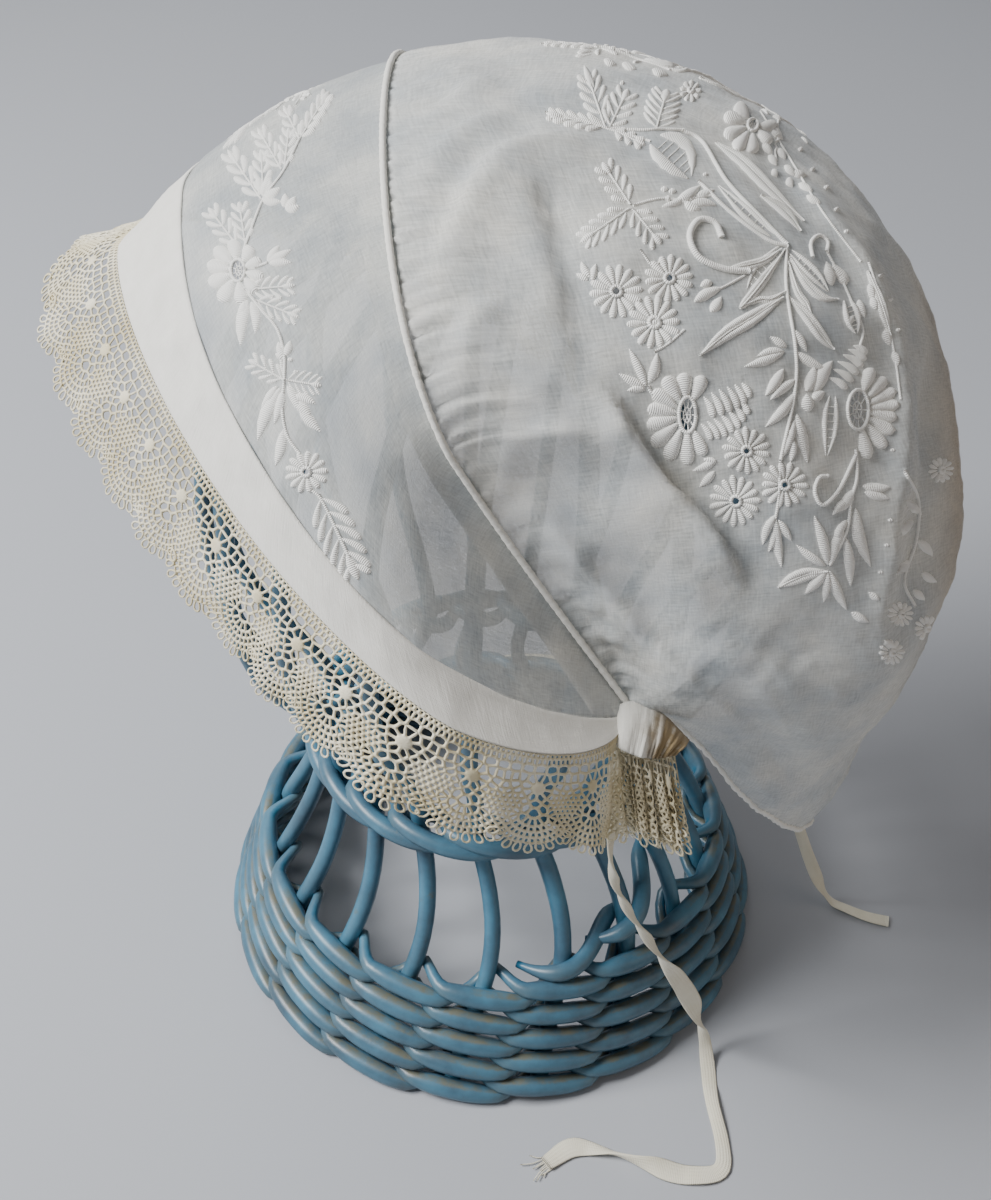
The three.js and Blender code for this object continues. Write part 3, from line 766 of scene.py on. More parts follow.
# Ties: flat cotton tapes. Their routes are those of the part's source; floor is the middle of a tape that
# lies down. twist: share of the length, degrees that the tape has turned, half width in mm
floor = 0.75
ties = {
    "chin_tie_near": {
        "route": [(33, -73, 148), (32, -75, 132), (31, -79, 119), (31, -84, 108), (35, -83, 92),
                  (43.5, -80, 71), (55, -74, 43), (62, -70, 22), (65.5, -68.5, 7), (66.5, -74, floor),
                  (66.5, -86, floor), (68, -100, floor), (66.5, -108, floor), (58, -109.5, floor),
                  (46, -107, floor), (32, -102, floor), (24, -101, floor), (16, -106, floor)],
        "twist": [(0, 0, 2.2), (0.15, 60, 1.5), (0.24, 330, 1.35), (0.33, 560, 1.5), (0.4, 690, 2.1),
                  (0.45, 735, 2.8), (0.5, 715, 3.0), (0.55, 765, 2.3), (0.59, 860, 1.6), (0.64, 905, 2.3),
                  (0.7, 890, 2.0), (0.77, 905, 2.3), (0.81, 895, 3.0), (0.85, 915, 3.0), (0.88, 965, 1.9),
                  (0.905, 1010, 1.5), (0.93, 1065, 2.0), (0.96, 1085, 3.0), (1, 1075, 2.4)],
        "length": 0.272, "width": 6.3, "fringe": True},
    "chin_tie_far": {
        "route": [(33, 77, 148), (32, 79, 132), (31, 83, 119), (31, 87, 106), (34, 90, 84), (38, 91, 56),
                  (42, 91, 28), (44.5, 92, 9), (44, 97, floor), (38, 105, floor), (26, 110, floor),
                  (10, 111, floor), (-6, 108, floor), (-20, 106, floor)],
        "twist": [(0, 0, 2.2), (0.2, 90, 1.6), (0.4, 330, 2.2), (0.55, 360, 3.1), (1, 360, 3.1)],
        "length": 0.228, "width": 6.3, "fringe": True},
    "nape_tie": {
        "route": [(98, -7.5, 42), (101, -8, 33), (105, -9, 22), (110, -10, 10), (114.5, -11.5, floor + 1.2),
                  (119, -13.5, floor), (126, -17, floor), (133, -19, floor)],
        "twist": [(0, 0, 1.6), (0.3, -20, 2.0), (0.6, 15, 2.2), (1, 0, 2.3)],
        "length": 0.063, "width": 4.6, "fringe": False},
}
tape = {"thick": 0.55, "step": 1.3, "sides": 12, "clearance": 0.15, "thicker": 1.2}
fringe = {"threads": 9, "radius": 0.17, "shortest": 3, "longest": 7.5, "inside": 1.0, "low": 0.45, "seed": 12}


def addTie(name, tie):
    line, places = alongLine(tie["route"], tape["step"])
    share = places / places[-1]
    twist = [dict(zip(("at", "angle", "half"), row)) for row in tie["twist"]]
    angle = np.radians(tableValue(twist, "at", share, "angle"))
    half = tableValue(twist, "at", share, "half")
    ahead = unit(np.gradient(line, axis=0))
    # where the tape lies down it faces up, and a turned stretch is raised so that it stays on the floor
    lying = smooth(16, 3, line[:, 2])[:, None]
    line[:, 2] += lying[:, 0] * half * np.abs(np.sin(angle))
    facing = unit(viewBack * (1 - lying) + np.array([0, 0, 1]) * lying)
    wide = unit(np.cross(ahead, facing))
    thick = np.cross(wide, ahead)
    turnedWide = wide * np.cos(angle)[:, None] + thick * np.sin(angle)[:, None]
    turnedThick = thick * np.cos(angle)[:, None] - wide * np.sin(angle)[:, None]
    # a twisted tape is narrow and so thicker
    depth = tape["thick"] / 2 * (1 + tape["thicker"] * smooth(2.6, 1.4, half))
    vertices, faces, uv = sweep(line, turnedWide * half[:, None], turnedThick * depth[:, None],
                                sides=tape["sides"])
    vertices[:, 2] = np.maximum(vertices[:, 2], tape["clearance"])
    piece = addPiece(name + "_tape", vertices, faces, tapeCotton, uv)
    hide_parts(name)
    pieces = []
    if tie["fringe"]:
        pieces = [addFringe(name + "_fringe", line[-1], ahead[-1], wide[-1], half[-1])]


def addFringe(name, end, ahead, wide, half):
    # the tape's last warp threads have come loose
    random = np.random.default_rng(fringe["seed"])
    threads = []
    for offset in np.linspace(-0.9, 0.9, fringe["threads"]):
        reach = random.uniform(fringe["shortest"], fringe["longest"])
        drift = offset * 1.4 + random.uniform(-1.5, 1.5)
        start = end + wide * offset * half - ahead * fringe["inside"]
        bend = start + ahead * reach * 0.55 + wide * drift * 0.3
        tip = start + ahead * reach + wide * drift
        line = alongLine([start, bend, tip], 1.2)[0]
        line[:, 2] = fringe["low"] + random.uniform(0, 0.5) * np.linspace(0, 1, len(line))
        threads.append(tube(line, fringe["radius"], 5))
    vertices, faces, uv = joined(threads)
    return addPiece(name, vertices, faces, tapeCotton, uv)


for tieName, tieValues in ties.items():
    addTie(tieName, tieValues)
print("ties made")


# Stand: 19 willow staves held by a woven foot and neck ring, spreading into a head-shaped form
stand = {"staves": 19, "phase": 0.026, "radius": 2.6, "sides": 10, "sway": 0.6, "thinner": 0.12, "top": 257}
# the line that every stave follows: at each height the half length and half width of the staves' oval, how
# far the oval lies forward, and how far each stave is bowed to one side
staveColumns = ("height", "long", "wide", "forward", "bow")
staveLine = [dict(zip(staveColumns, row)) for row in (
    (1.5, 80.2, 80.2, 0, -6), (21, 73, 73, 0, -1), (38, 66.8, 66.8, 0, 4), (50, 61, 61, 0, 5.2),
    (63, 55, 55, 0, 3.6), (79, 50.2, 50.2, 0, 0), (98, 55, 53, 0, 0), (122, 71, 65, 0, 0),
    (147, 78, 70, 1, 0), (172, 79, 68.5, 2, 0), (195, 76, 64, 3, 0), (215, 68, 58, 5, 0),
    (232, 56, 49, 7, 0), (246, 40, 36, 9, 0), (255, 26, 25, 10, 0), (257.5, 14, 14, 10, 0))]
# woven rows with the rods' radius. In the foot's rows two rods cross between the staves, each outside one
# stave, then inside the next; in the neck's row three rods pass outside two staves, then inside one
rowColumns = ("height", "half", "radius")
foot = [dict(zip(rowColumns, row)) for row in (
    (4.2, 2.5, 3.1), (11.8, 3.0, 3.15), (19.4, 3.0, 3.15), (27.0, 3.0, 3.1), (34.6, 3.0, 3.1))]
neck = [dict(zip(rowColumns, (79.5, 2.3, 2.7)))]
weave = {
    "steps": 11,                                         # points of a rod's line from stave to stave
    "evenedOver": 6,                                     # points to each side that even out its waver
    "inside": -4.2, "swing": 9.1, "lead": 0.33, "falls": 1.66, "thinner": 0.48, "uneven": 0.3,
    "neckGap": 0.93, "neckThinner": 0.22, "neckUneven": 0.22,
}


def stavePoint(angle, height):
    long, wide, forward, bow = [tableValue(staveLine, "height", height, c) for c in staveColumns[1:]]
    return np.stack([forward + long * np.cos(angle) - bow * np.sin(angle),
                     wide * np.sin(angle) + bow * np.cos(angle), height + 0 * angle], -1)


def addStaves():
    random = np.random.default_rng(3)
    rods = []
    heights = np.array([row["height"] for row in staveLine])
    fine = np.interp(np.linspace(0, 1, 110), np.linspace(0, 1, len(heights)), heights)
    for i in range(stand["staves"]):
        angle = (i + stand["phase"]) / stand["staves"] * 2 * math.pi
        line = evenly(stavePoint(angle, fine), 4.5)[0]
        sway = random.normal(0, 0.5, 3)
        rise = line[:, 2] / stand["top"]
        bend = np.sin(rise * 9 + i)[:, None] * sway * smooth(0, 0.1, rise)[:, None]
        thick = stand["radius"] * random.uniform(0.94, 1.06) * (1 - stand["thinner"] * rise)
        rods.append(tube(line + bend * stand["sway"], thick, stand["sides"],
                         guide=(math.cos(angle), math.sin(angle), 0.01)))
    vertices, faces, uv = joined(rods)
    # the staves are a little dirty all over, and beside the woven rows they get more dirt and painted shade
    # where rods cross
    wearAndShade = 0.25 * np.ones(len(vertices))
    for row in foot + neck:
        beside = np.abs(vertices[:, 2] - row["height"])
        farFromRow, nearRow = row["half"] + row["radius"] * 1.5, row["half"] + row["radius"] * 0.6
        wearAndShade = np.maximum(wearAndShade, 0.5 * smooth(farFromRow, nearRow, beside))
    piece = addPiece("stand_staves", vertices, faces, paintedCane, uv, wearAndShade)
    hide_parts(*["stave_%02d" % (i + 1) for i in range(stand["staves"])])


def radial(angle):
    return np.stack([np.cos(angle), np.sin(angle), 0 * angle], -1)


def roundRow(rods):
    # 19 staves aren't a multiple of 2 or 3, so the row's rods are one line that goes round two or three
    # times. The phase counts the staves that the line has passed since its pattern last began.
    steps = rods * stand["staves"] * weave["steps"]
    place = np.linspace(0, rods * stand["staves"], steps, endpoint=False)
    return place, place % rods


def rowTube(row, place, swing, rise, size, waver):
    angle = (place + stand["phase"] - 0.5) / stand["staves"] * 2 * math.pi
    line = stavePoint(angle, row["height"] + rise) + radial(angle) * swing[:, None]
    waver = np.repeat(waver, weave["steps"])
    reach = weave["evenedOver"]
    window = np.ones(2 * reach + 1) / (2 * reach + 1)
    line[:, 2] += np.convolve(np.concatenate([waver[-reach:], waver, waver[:reach]]), window, 'valid')
    return tube(line, size, stand["sides"], closed=True)


def tripleRow(row, seed):
    place, phase = roundRow(3)
    outside = phase < 2
    apart = stand["radius"] + row["radius"] * weave["neckGap"]
    swing = np.where(outside, np.sin(np.minimum(phase, 2) / 2 * math.pi) ** 0.45,
                     -np.sin(np.clip(phase - 2, 0, 1) * math.pi) ** 0.7) * apart
    rise = np.where(outside, np.cos(phase / 2 * math.pi), -np.cos((phase - 2) * math.pi)) * row["half"]
    size = row["radius"] * (1 - weave["neckThinner"] * (1 - np.abs(swing) / apart))
    waver = np.random.default_rng(seed).normal(0, weave["neckUneven"], 3 * stand["staves"])
    return rowTube(row, place, swing, rise, size, waver)


def pairedRow(row, seed):
    # a rod comes out high beside one stave, runs down over the next and dives in low before the third
    place, phase = roundRow(2)
    apart = np.abs((phase + 0.5) % 2 - 1)
    swing = weave["inside"] + weave["swing"] * smooth(1.02, 0.46, apart)
    fall = (phase + weave["lead"]) % 2
    back = (fall - weave["falls"]) / (2 - weave["falls"])
    rise = np.where(fall < weave["falls"], 1 - 2 * fall / weave["falls"], -np.cos(back * math.pi))
    rise = rise * row["half"]
    size = row["radius"] * (1 - weave["thinner"] * smooth(0.15, 0.82, apart))
    waver = np.random.default_rng(seed).normal(0, weave["uneven"], 2 * stand["staves"])
    return rowTube(row, place, swing, rise, size, waver)


def addWeaving(name, rods, node):
    vertices, faces, uv = joined(rods)
    staves = stavePoint(np.arctan2(vertices[:, 1], vertices[:, 0]), vertices[:, 2])
    out = np.linalg.norm(vertices[:, :2], axis=1) - np.linalg.norm(staves[:, :2], axis=1)
    # the paint is worn along the rods' upper and lower sides, where they rub, and dirty where they dive in;
    # these places also get painted shade, where rods touch each other and pass behind the staves
    rings = vertices.reshape(-1, stand["sides"], 3)[..., 2]
    edge = np.abs(rings - rings.mean(1, keepdims=True))
    edge = (edge / edge.max(1, keepdims=True)).ravel()
    wearAndShade = np.maximum(0.9 * smooth(2.6, -0.5, np.abs(out)), 0.85 * smooth(0.68, 1.0, edge))
    wearAndShade *= 1 - 0.7 * smooth(36.5, 39.5, vertices[:, 2])
    piece = addPiece(name, vertices, faces, paintedCane, uv, wearAndShade)
    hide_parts(node)


# On the right the last rods of the foot climb away from the row and end outside the staves. A rod starts
# before its stave; turn and before are degrees round the foot.
risingRods = [{"stave": 15, "turn": 34, "low": 39.2, "climb": 4},
              {"stave": 16, "turn": 31, "low": 41.5, "climb": 13}]
rising = {"before": 11.5, "out": 5.2, "radius": 2.7, "tip": 0.4}


def risingRod(rod):
    share = np.linspace(0, 1, 26)
    staves = (rod["turn"] * share - rising["before"]) * stand["staves"] / 360
    angle = (rod["stave"] + stand["phase"] + staves) / stand["staves"] * 2 * math.pi
    out = rising["out"] * np.cos(staves * math.pi)
    line = stavePoint(angle, rod["low"] + rod["climb"] * share ** 1.2) + radial(angle) * out[:, None]
    full = rising["tip"] + (1 - rising["tip"]) * smooth(0, 0.3, share) * smooth(1, 0.8, share)
    return tube(line, rising["radius"] * full, stand["sides"])


# The staves' ends are bound by a few turns of cane round a button
topKnot = {
    "forward": 10, "low": 253.5, "turns": 3.2, "pitch": 2.1, "radius": 9.5, "swell": 4.6, "cane": 1.9,
    "button": [(252.0, 9), (254.0, 11.5), (258.6, 10.5), (260.0, 4)],    # height, radius
}


def addTopKnot():
    turns = np.linspace(0, topKnot["turns"], 130)
    radius = topKnot["radius"] + topKnot["swell"] * np.sin(turns / topKnot["turns"] * math.pi)
    line = radial(turns * 2 * math.pi) * radius[:, None] + (topKnot["forward"], 0, topKnot["low"])
    line[:, 2] += turns * topKnot["pitch"]
    heights, radii = zip(*topKnot["button"])
    middle = np.array([(topKnot["forward"], 0, height) for height in heights])
    button = tube(middle, radii, 20, guide=(1, 0, 0))
    vertices, faces, uv = joined([tube(line, topKnot["cane"], 8), button])
    piece = addPiece("stand_top_binding", vertices, faces, paintedCane, uv)
    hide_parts("stand_top")


addStaves()
footRods = [pairedRow(row, seed) for seed, row in enumerate(foot)] + [risingRod(rod) for rod in risingRods]
addWeaving("stand_foot_weave", footRods, "stand_skirt")
addWeaving("stand_neck_weave", [tripleRow(row, seed) for seed, row in enumerate(neck)], "stand_collar")
addTopKnot()
print("stand made")


# Bobbin lace along the face edge. One scallop is charted flat, in mm: u runs along the edge from the
# scallop's middle, v away from the hem. Each place in the chart is a hole between threads.
lace = {
    "pitch": 15.5, "thread": 0.38, "crest": 0.3, "gap": 0.2,
    "footside": [(0.75, 12, 0), (1.95, 12, 0.5)],        # v, holes in a scallop, shift in holes
    "largeHoles": (4.15, 5, 0.5),
    "mediumHoles": [(3.9, 6.75), (5.85, 6.9), (7.75, 6.8)],
    "spider": (0, 9.4), "spiderRing": (2.75, 9),         # radius and number of the holes round it
    "besideDiamond": [(5.6, 9.0), (4.75, 10.5), (3.75, 11.9), (2.9, 13.4), (2.2, 14.9)],
    "underSpider": [(0, 13.5), (0, 16.2)],
    "diamond": {"middle": 14.4, "halfWidth": 5.3, "halfHeight": 6.3, "pitch": 1.34},
    "fan": {"middle": 15.9, "rings": [(3.3, 5, 50), (4.9, 9, 66), (6.5, 12, 64), (8.1, 14, 60)],
            "outside": (9.65, 15, 62), "loops": 9},
    "loop": {"middle": 9.9, "long": 1.35, "wide": 0.78, "thread": 0.25, "spread": 57},
    # place on the face edge, and the way that the lace falls there: to the front, the far side and down
    "edge": [(-1, -0.15, -0.45, 0.85), (-0.9, -0.04, -0.33, 0.93), (-0.75, 0.12, -0.2, 0.95),
             (-0.6, 0.42, -0.16, 0.87), (-0.5, 0.6, 0, 0.79), (-0.4, 0.53, 0.03, 0.83),
             (-0.2, 0.74, -0.03, 0.66), (-0.08, 0.84, 0.06, 0.5), (0, 0.84, 0.35, 0.42),
             (0.1, 0.7, 0.6, 0.36), (0.22, 0.5, 0.72, 0.4), (0.4, 0.35, 0.62, 0.68),
             (0.6, 0.2, 0.48, 0.82), (1, 0, 0.35, 0.93)],
    "last": 0.93, "tail": (14.5, -1.5, -8),
    "fullness": [(-1, 3.4), (-0.94, 3.2), (-0.88, 1.3), (-0.8, 1.03), (0.8, 1.03), (0.9, 1.3), (1, 2.2)],
    "ruffle": [(-1, 3.4), (-0.94, 3.0), (-0.85, 0.9), (-0.5, 0.5), (0, 0.5), (0.5, 0.9), (0.9, 1.8),
               (1, 2.4)],
    "depth": 26, "longWave": 27, "shortWave": 11.5, "pleat": 9.0, "droop": 0.65,
    "tailFolds": [(4.6, -0.9, -1.5), (9.1, -1.7, 1.4)],  # the crushed end's folds: along, down, height in mm
    "flat": (0.29, 0.0275),
}


def laceHoles():
    # the chart's holes, and past its edge the outside ones that shape the scallop
    pitch = lace["pitch"]
    holes, kept = [], []

    def add(u, v, kind, room=1.02):
        u = (u + pitch / 2) % pitch - pitch / 2
        for other in kept:
            apart = abs(u - other[0])
            if math.hypot(min(apart, pitch - apart), v - other[1]) < room:
                return
        kept.append((u, v))
        holes.append((u, v, kind))

    u, v = lace["spider"]
    add(u, v, "spider")
    radius, count = lace["spiderRing"]
    for i in range(count):
        angle = (i + 0.5) / count * 2 * math.pi + math.pi / 2
        add(u + radius * math.cos(angle), v + radius * math.sin(angle), "hole")
    rows = lace["footside"] + [lace["largeHoles"]]
    for v, count, shift in rows:
        for i in range(count):
            add((i + shift) * pitch / count - pitch / 2, v, "hole")
    for u, v in lace["mediumHoles"] + lace["besideDiamond"] + lace["underSpider"]:
        for side in (-1, 1):
            add(side * u, v, "hole")
    fan = lace["fan"]
    for radius, count, spread in fan["rings"]:
        for angle in np.radians(np.linspace(-spread, spread, count)):
            add(radius * math.sin(angle), fan["middle"] + radius * math.cos(angle), "hole", 1.15)
    diamond = lace["diamond"]
    for row in range(-6, 7):
        for column in range(-6, 7):
            du = (column + 0.5 * (row % 2)) * diamond["pitch"]
            dv = row * diamond["pitch"] * 0.87
            if abs(du) / diamond["halfWidth"] + abs(dv) / diamond["halfHeight"] <= 1.0:
                add(pitch / 2 + du, diamond["middle"] + dv, "hole", 1.1)
    radius, count, spread = fan["outside"]
    for angle in np.radians(np.linspace(-spread, spread, count)):
        add(radius * math.sin(angle), fan["middle"] + radius * math.cos(angle), "outside", 1.0)
    add(pitch / 2, diamond["middle"] + diamond["halfHeight"] + 1.35, "outside", 0.8)
    for i in range(12):
        add((i + 0.5) * pitch / 12 - pitch / 2, -0.55, "outside", 0.5)
    return holes


def laceCells():
    # each hole's outline is halfway to its neighbours: the corners are centres of the triangles between holes
    holes = laceHoles()
    pitch = lace["pitch"]
    spread = [(u + shift * pitch, v, kind, shift) for shift in (-1, 0, 1) for u, v, kind in holes]
    made = delaunay_2d_cdt([Vector(spot[:2]) for spot in spread], [], [], 0, 1e-6)
    points, triangles = made[0], made[2]
    source = [ids[0] if ids else None for ids in made[3]]
    around = {}
    for triangle in triangles:
        a, b, c = (points[i] for i in triangle)
        d = 2 * (a.x * (b.y - c.y) + b.x * (c.y - a.y) + c.x * (a.y - b.y))
        if abs(d) < 1e-9:
            continue
        aa, bb, cc = a.length_squared, b.length_squared, c.length_squared
        x = (aa * (b.y - c.y) + bb * (c.y - a.y) + cc * (a.y - b.y)) / d
        y = (aa * (c.x - b.x) + bb * (a.x - c.x) + cc * (b.x - a.x)) / d
        for i in triangle:
            around.setdefault(source[i], []).append((x, y))
    cells = []
    for index, (u, v, kind, shift) in enumerate(spread):
        if shift != 0 or kind == "outside":
            continue
        corners = sorted(set((round(x, 3), round(y, 3)) for x, y in around[index]),
                         key=lambda p: math.atan2(p[1] - v, p[0] - u))
        cells.append((kind, [np.array(p) for p in corners]))
    return cells


def laceRepeat():
    # faces of one scallop: threads with a rounded crest along every cell's outline, open in its middle
    faces, spots = [], []
    for kind, corners in laceCells():
        count = len(corners)
        middle = sum(corners) / count
        outline = []
        for i, corner in enumerate(corners):
            outline.append((corner, 1.45))
            outline.append(((corner + corners[(i + 1) % count]) / 2, 1.0))
        rim = []
        for point, share in outline:
            reach = np.linalg.norm(point - middle)
            rim.append(middle + (point - middle) * max(1 - lace["thread"] * share / max(reach, 1e-6), 0.12))
        ring = len(outline)
        if kind == "spider":
            for level in (1, -1):
                base = len(spots)
                spots.extend([(*p, level * lace["crest"]) for p, _ in outline])
                spots.extend([(*(middle + (p - middle) * 0.55), level * (0.62 if i % 2 else 0.42))
                              for i, (p, _) in enumerate(outline)])
                spots.append((*middle, level * 0.35))
                for i in range(ring):
                    j = (i + 1) % ring
                    quad = [base + i, base + j, base + ring + j, base + ring + i]
                    tip = [base + ring + i, base + ring + j, base + 2 * ring]
                    faces.extend([quad, tip] if level > 0 else [quad[::-1], tip[::-1]])
            continue
        base = len(spots)
        spots.extend([(*p, lace["crest"]) for p, _ in outline])
        spots.extend([(*p, 0.0) for p in rim])
        spots.extend([(*p, -lace["crest"]) for p, _ in outline])
        for i in range(ring):
            j = (i + 1) % ring
            faces.append([base + i, base + j, base + ring + j, base + ring + i])
            faces.append([base + ring + i, base + ring + j, base + 2 * ring + j, base + 2 * ring + i])
    return np.array(spots), faces


def laceLoops():
    # picots: small thread loops that stand round each scallop's edge
    loops = []
    values = lace["loop"]
    for angle in np.radians(np.linspace(-values["spread"], values["spread"], lace["fan"]["loops"])):
        out = np.array([math.sin(angle), math.cos(angle)])
        side = np.array([out[1], -out[0]])
        middle = np.array([0, lace["fan"]["middle"]]) + out * values["middle"]
        turn = np.linspace(0, 2 * math.pi, 11, endpoint=False)
        flat = (middle + out * values["long"] * np.cos(turn)[:, None]
                + side * values["wide"] * np.sin(turn)[:, None] * (1 + 0.35 * np.cos(turn))[:, None])
        line = np.column_stack([flat, np.zeros(len(turn))])
        loops.append(tube(line, values["thread"], 5, closed=True)[:2])
    return loops


def laceRun():
    # the face edge in small steps, with the ways the lace runs, falls and faces, its ruffle and each step's
    # place on the flat lace
    places = np.linspace(-1, 1, 1201)
    across = np.clip(places, -lace["last"], lace["last"])
    past = np.abs(places - across) / (1 - lace["last"])
    tail = np.array(lace["tail"], float)
    points = lifted(archPoints(np.full_like(across, cap["faceTurn"]), across), np.full_like(across, -0.8))
    points += np.stack([tail[0] * past, np.sign(places) * tail[1] * past, tail[2] * past], 1)
    edge = [dict(zip(("at", "front", "far", "down"), row)) for row in lace["edge"]]
    fall = unit(np.stack([-tableValue(edge, "at", places, "front"), tableValue(edge, "at", places, "far"),
                          -tableValue(edge, "at", places, "down")], 1))
    full = np.interp(places, *zip(*lace["fullness"]))
    ruffle = np.interp(places, *zip(*lace["ruffle"]))
    steps = np.linalg.norm(np.diff(points, axis=0, prepend=points[:1]), axis=1)
    ahead = unit(np.gradient(points, axis=0))
    normal = unit(np.cross(fall, ahead))
    return {"places": places, "points": points, "ahead": ahead, "fall": fall, "normal": normal,
            "flat": np.cumsum(steps * full), "ruffle": ruffle}


def laceSurface(run, along, down, height):
    def read(name):
        return np.stack([np.interp(along, run["flat"], run[name][:, k]) for k in range(3)], 1)

    points, fall, normal, ahead = (read(name) for name in ("points", "fall", "normal", "ahead"))
    ruffle = np.interp(along, run["flat"], run["ruffle"])
    share = np.clip(down / lace["depth"], 0, 1.2)
    # loose lace hangs in soft waves and droops, tight lace at the ends is crushed into pleats
    tight = smooth(1.5, 2.5, ruffle)
    turns = along * 2 * math.pi
    wave = np.sin(turns / lace["longWave"] + 0.6) + 0.5 * np.sin(turns / lace["shortWave"] + down * 0.1)
    pleat = np.sin(turns / lace["pleat"] + 0.4 * np.sin(along * 0.37)) * 1.2
    lift = ruffle * share ** 0.8 * (wave * (1 - tight) + pleat * (0.35 + 0.65 * share) * tight)
    slip = 0.5 * np.sin(along * 0.21) * share + 1.2 * tight * np.cos(turns / lace["pleat"]) * share
    droop = lace["droop"] * share ** 2 * (1 - tight)
    return (points + fall * (lace["gap"] + down)[:, None] + normal * (height + lift)[:, None]
            + ahead * slip[:, None] - np.array([0, 0, 1.0]) * droop[:, None])


def addLace():
    run = laceRun()
    spots, faces = laceRepeat()
    loops = laceLoops()
    total = run["flat"][-1]
    repeats = int(total // lace["pitch"])
    start = (total - repeats * lace["pitch"]) / 2 + lace["pitch"] / 2
    halves = {"lace_near": range(0, repeats // 2), "lace_far": range(repeats // 2, repeats)}
    for name, numbers in halves.items():
        index, vertices, quads, uses = {}, [], [], {}
        for number in numbers:
            shifted = spots + np.array([start + number * lace["pitch"], 0, 0])
            known = []
            for spot in shifted:
                key = (round(spot[0] * 200), round(spot[1] * 200), round(spot[2] * 50))
                if key not in index:
                    index[key] = len(vertices)
                    vertices.append(spot)
                known.append(index[key])
            for face in faces:
                mapped = [known[i] for i in face]
                mapped = [m for k, m in enumerate(mapped) if m != mapped[k - 1]]
                if len(set(mapped)) < 3:
                    continue
                quads.append(mapped)
                for k, corner in enumerate(mapped):
                    uses.setdefault(frozenset((corner, mapped[k - 1])), []).append((mapped[k - 1], corner))
        # the edges that one face alone uses get a wall from the upper to the lower crest
        crest = round(lace["crest"] * 50)
        below = {value: index[(key[0], key[1], -crest)] for key, value in index.items()
                 if key[2] == crest and (key[0], key[1], -crest) in index}
        for edge, found in uses.items():
            first, second = found[0]
            if len(found) == 1 and first in below and second in below:
                quads.append([second, first, below[first], below[second]])
        flat = np.array(vertices)
        random = np.random.default_rng(17)
        for number in numbers:
            for ring, ringFaces in loops:
                moved = ring + np.array([start + number * lace["pitch"] + random.normal(0, 0.08),
                                         random.normal(0, 0.12), random.normal(0, 0.15)])
                quads.extend([[i + len(flat) for i in face] for face in ringFaces])
                flat = np.concatenate([flat, moved])
        side = -1 if name == "lace_near" else 1
        tailStart = np.interp(side * (lace["last"] + 0.01), run["places"], run["flat"])
        inTail = (flat[:, 0] - tailStart) * side > 0
        tailNumber = np.cumsum(inTail) - 1
        tailFaces = [[tailNumber[i] for i in face] for face in quads if inTail[face].all()]
        parts = [(laceSurface(run, flat[:, 0], flat[:, 1], flat[:, 2]), quads, flat[:, :2])]
        for along, down, height in lace["tailFolds"]:
            tail = flat[inTail] + (-side * along, down, height)
            parts.append((laceSurface(run, tail[:, 0], tail[:, 1], tail[:, 2]), tailFaces, tail[:, :2]))
        vertices, allFaces, uv = joined(parts)
        piece = addPiece(name, vertices, allFaces, laceThread, uv)
        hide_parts("lace_edging")
        print(name, len(quads), "faces and", len(tailFaces), "in each fold of the tail; flat length",
              round(total / 2, 1))


addLace()
print("lace made")


# At each chin corner hem, band and crown are drawn together on the tie: a small fan of pinched, yellowed
# pleats, browned further by painted shade. Edges are pixels of the photo with their depth from the camera in
# mm.
corner = {
    "top": [(616, 710, 351.3), (626, 703, 352), (642, 703, 353.3), (664, 715, 355), (690, 741, 357.5)],
    "bottom": [(614, 745, 347), (626, 752, 347.8), (641, 757, 349.2), (656, 758, 352), (674, 755, 354.5)],
    "rows": 16, "step": 0.45, "pleats": 9.5, "height": 1.35, "bulge": 1.5, "leftSinks": 1.4, "topSinks": 1.6,
    "stainAndShade": 0.95, "rough": 0.03, "seed": 9, "thick": 0.4, "flat": (0.024, 0.0122),
}


def cornerPoint(x, y, depth):
    ray = pixelRay((x, y))
    return cameraPlace + ray * depth / -(ray @ viewBack)


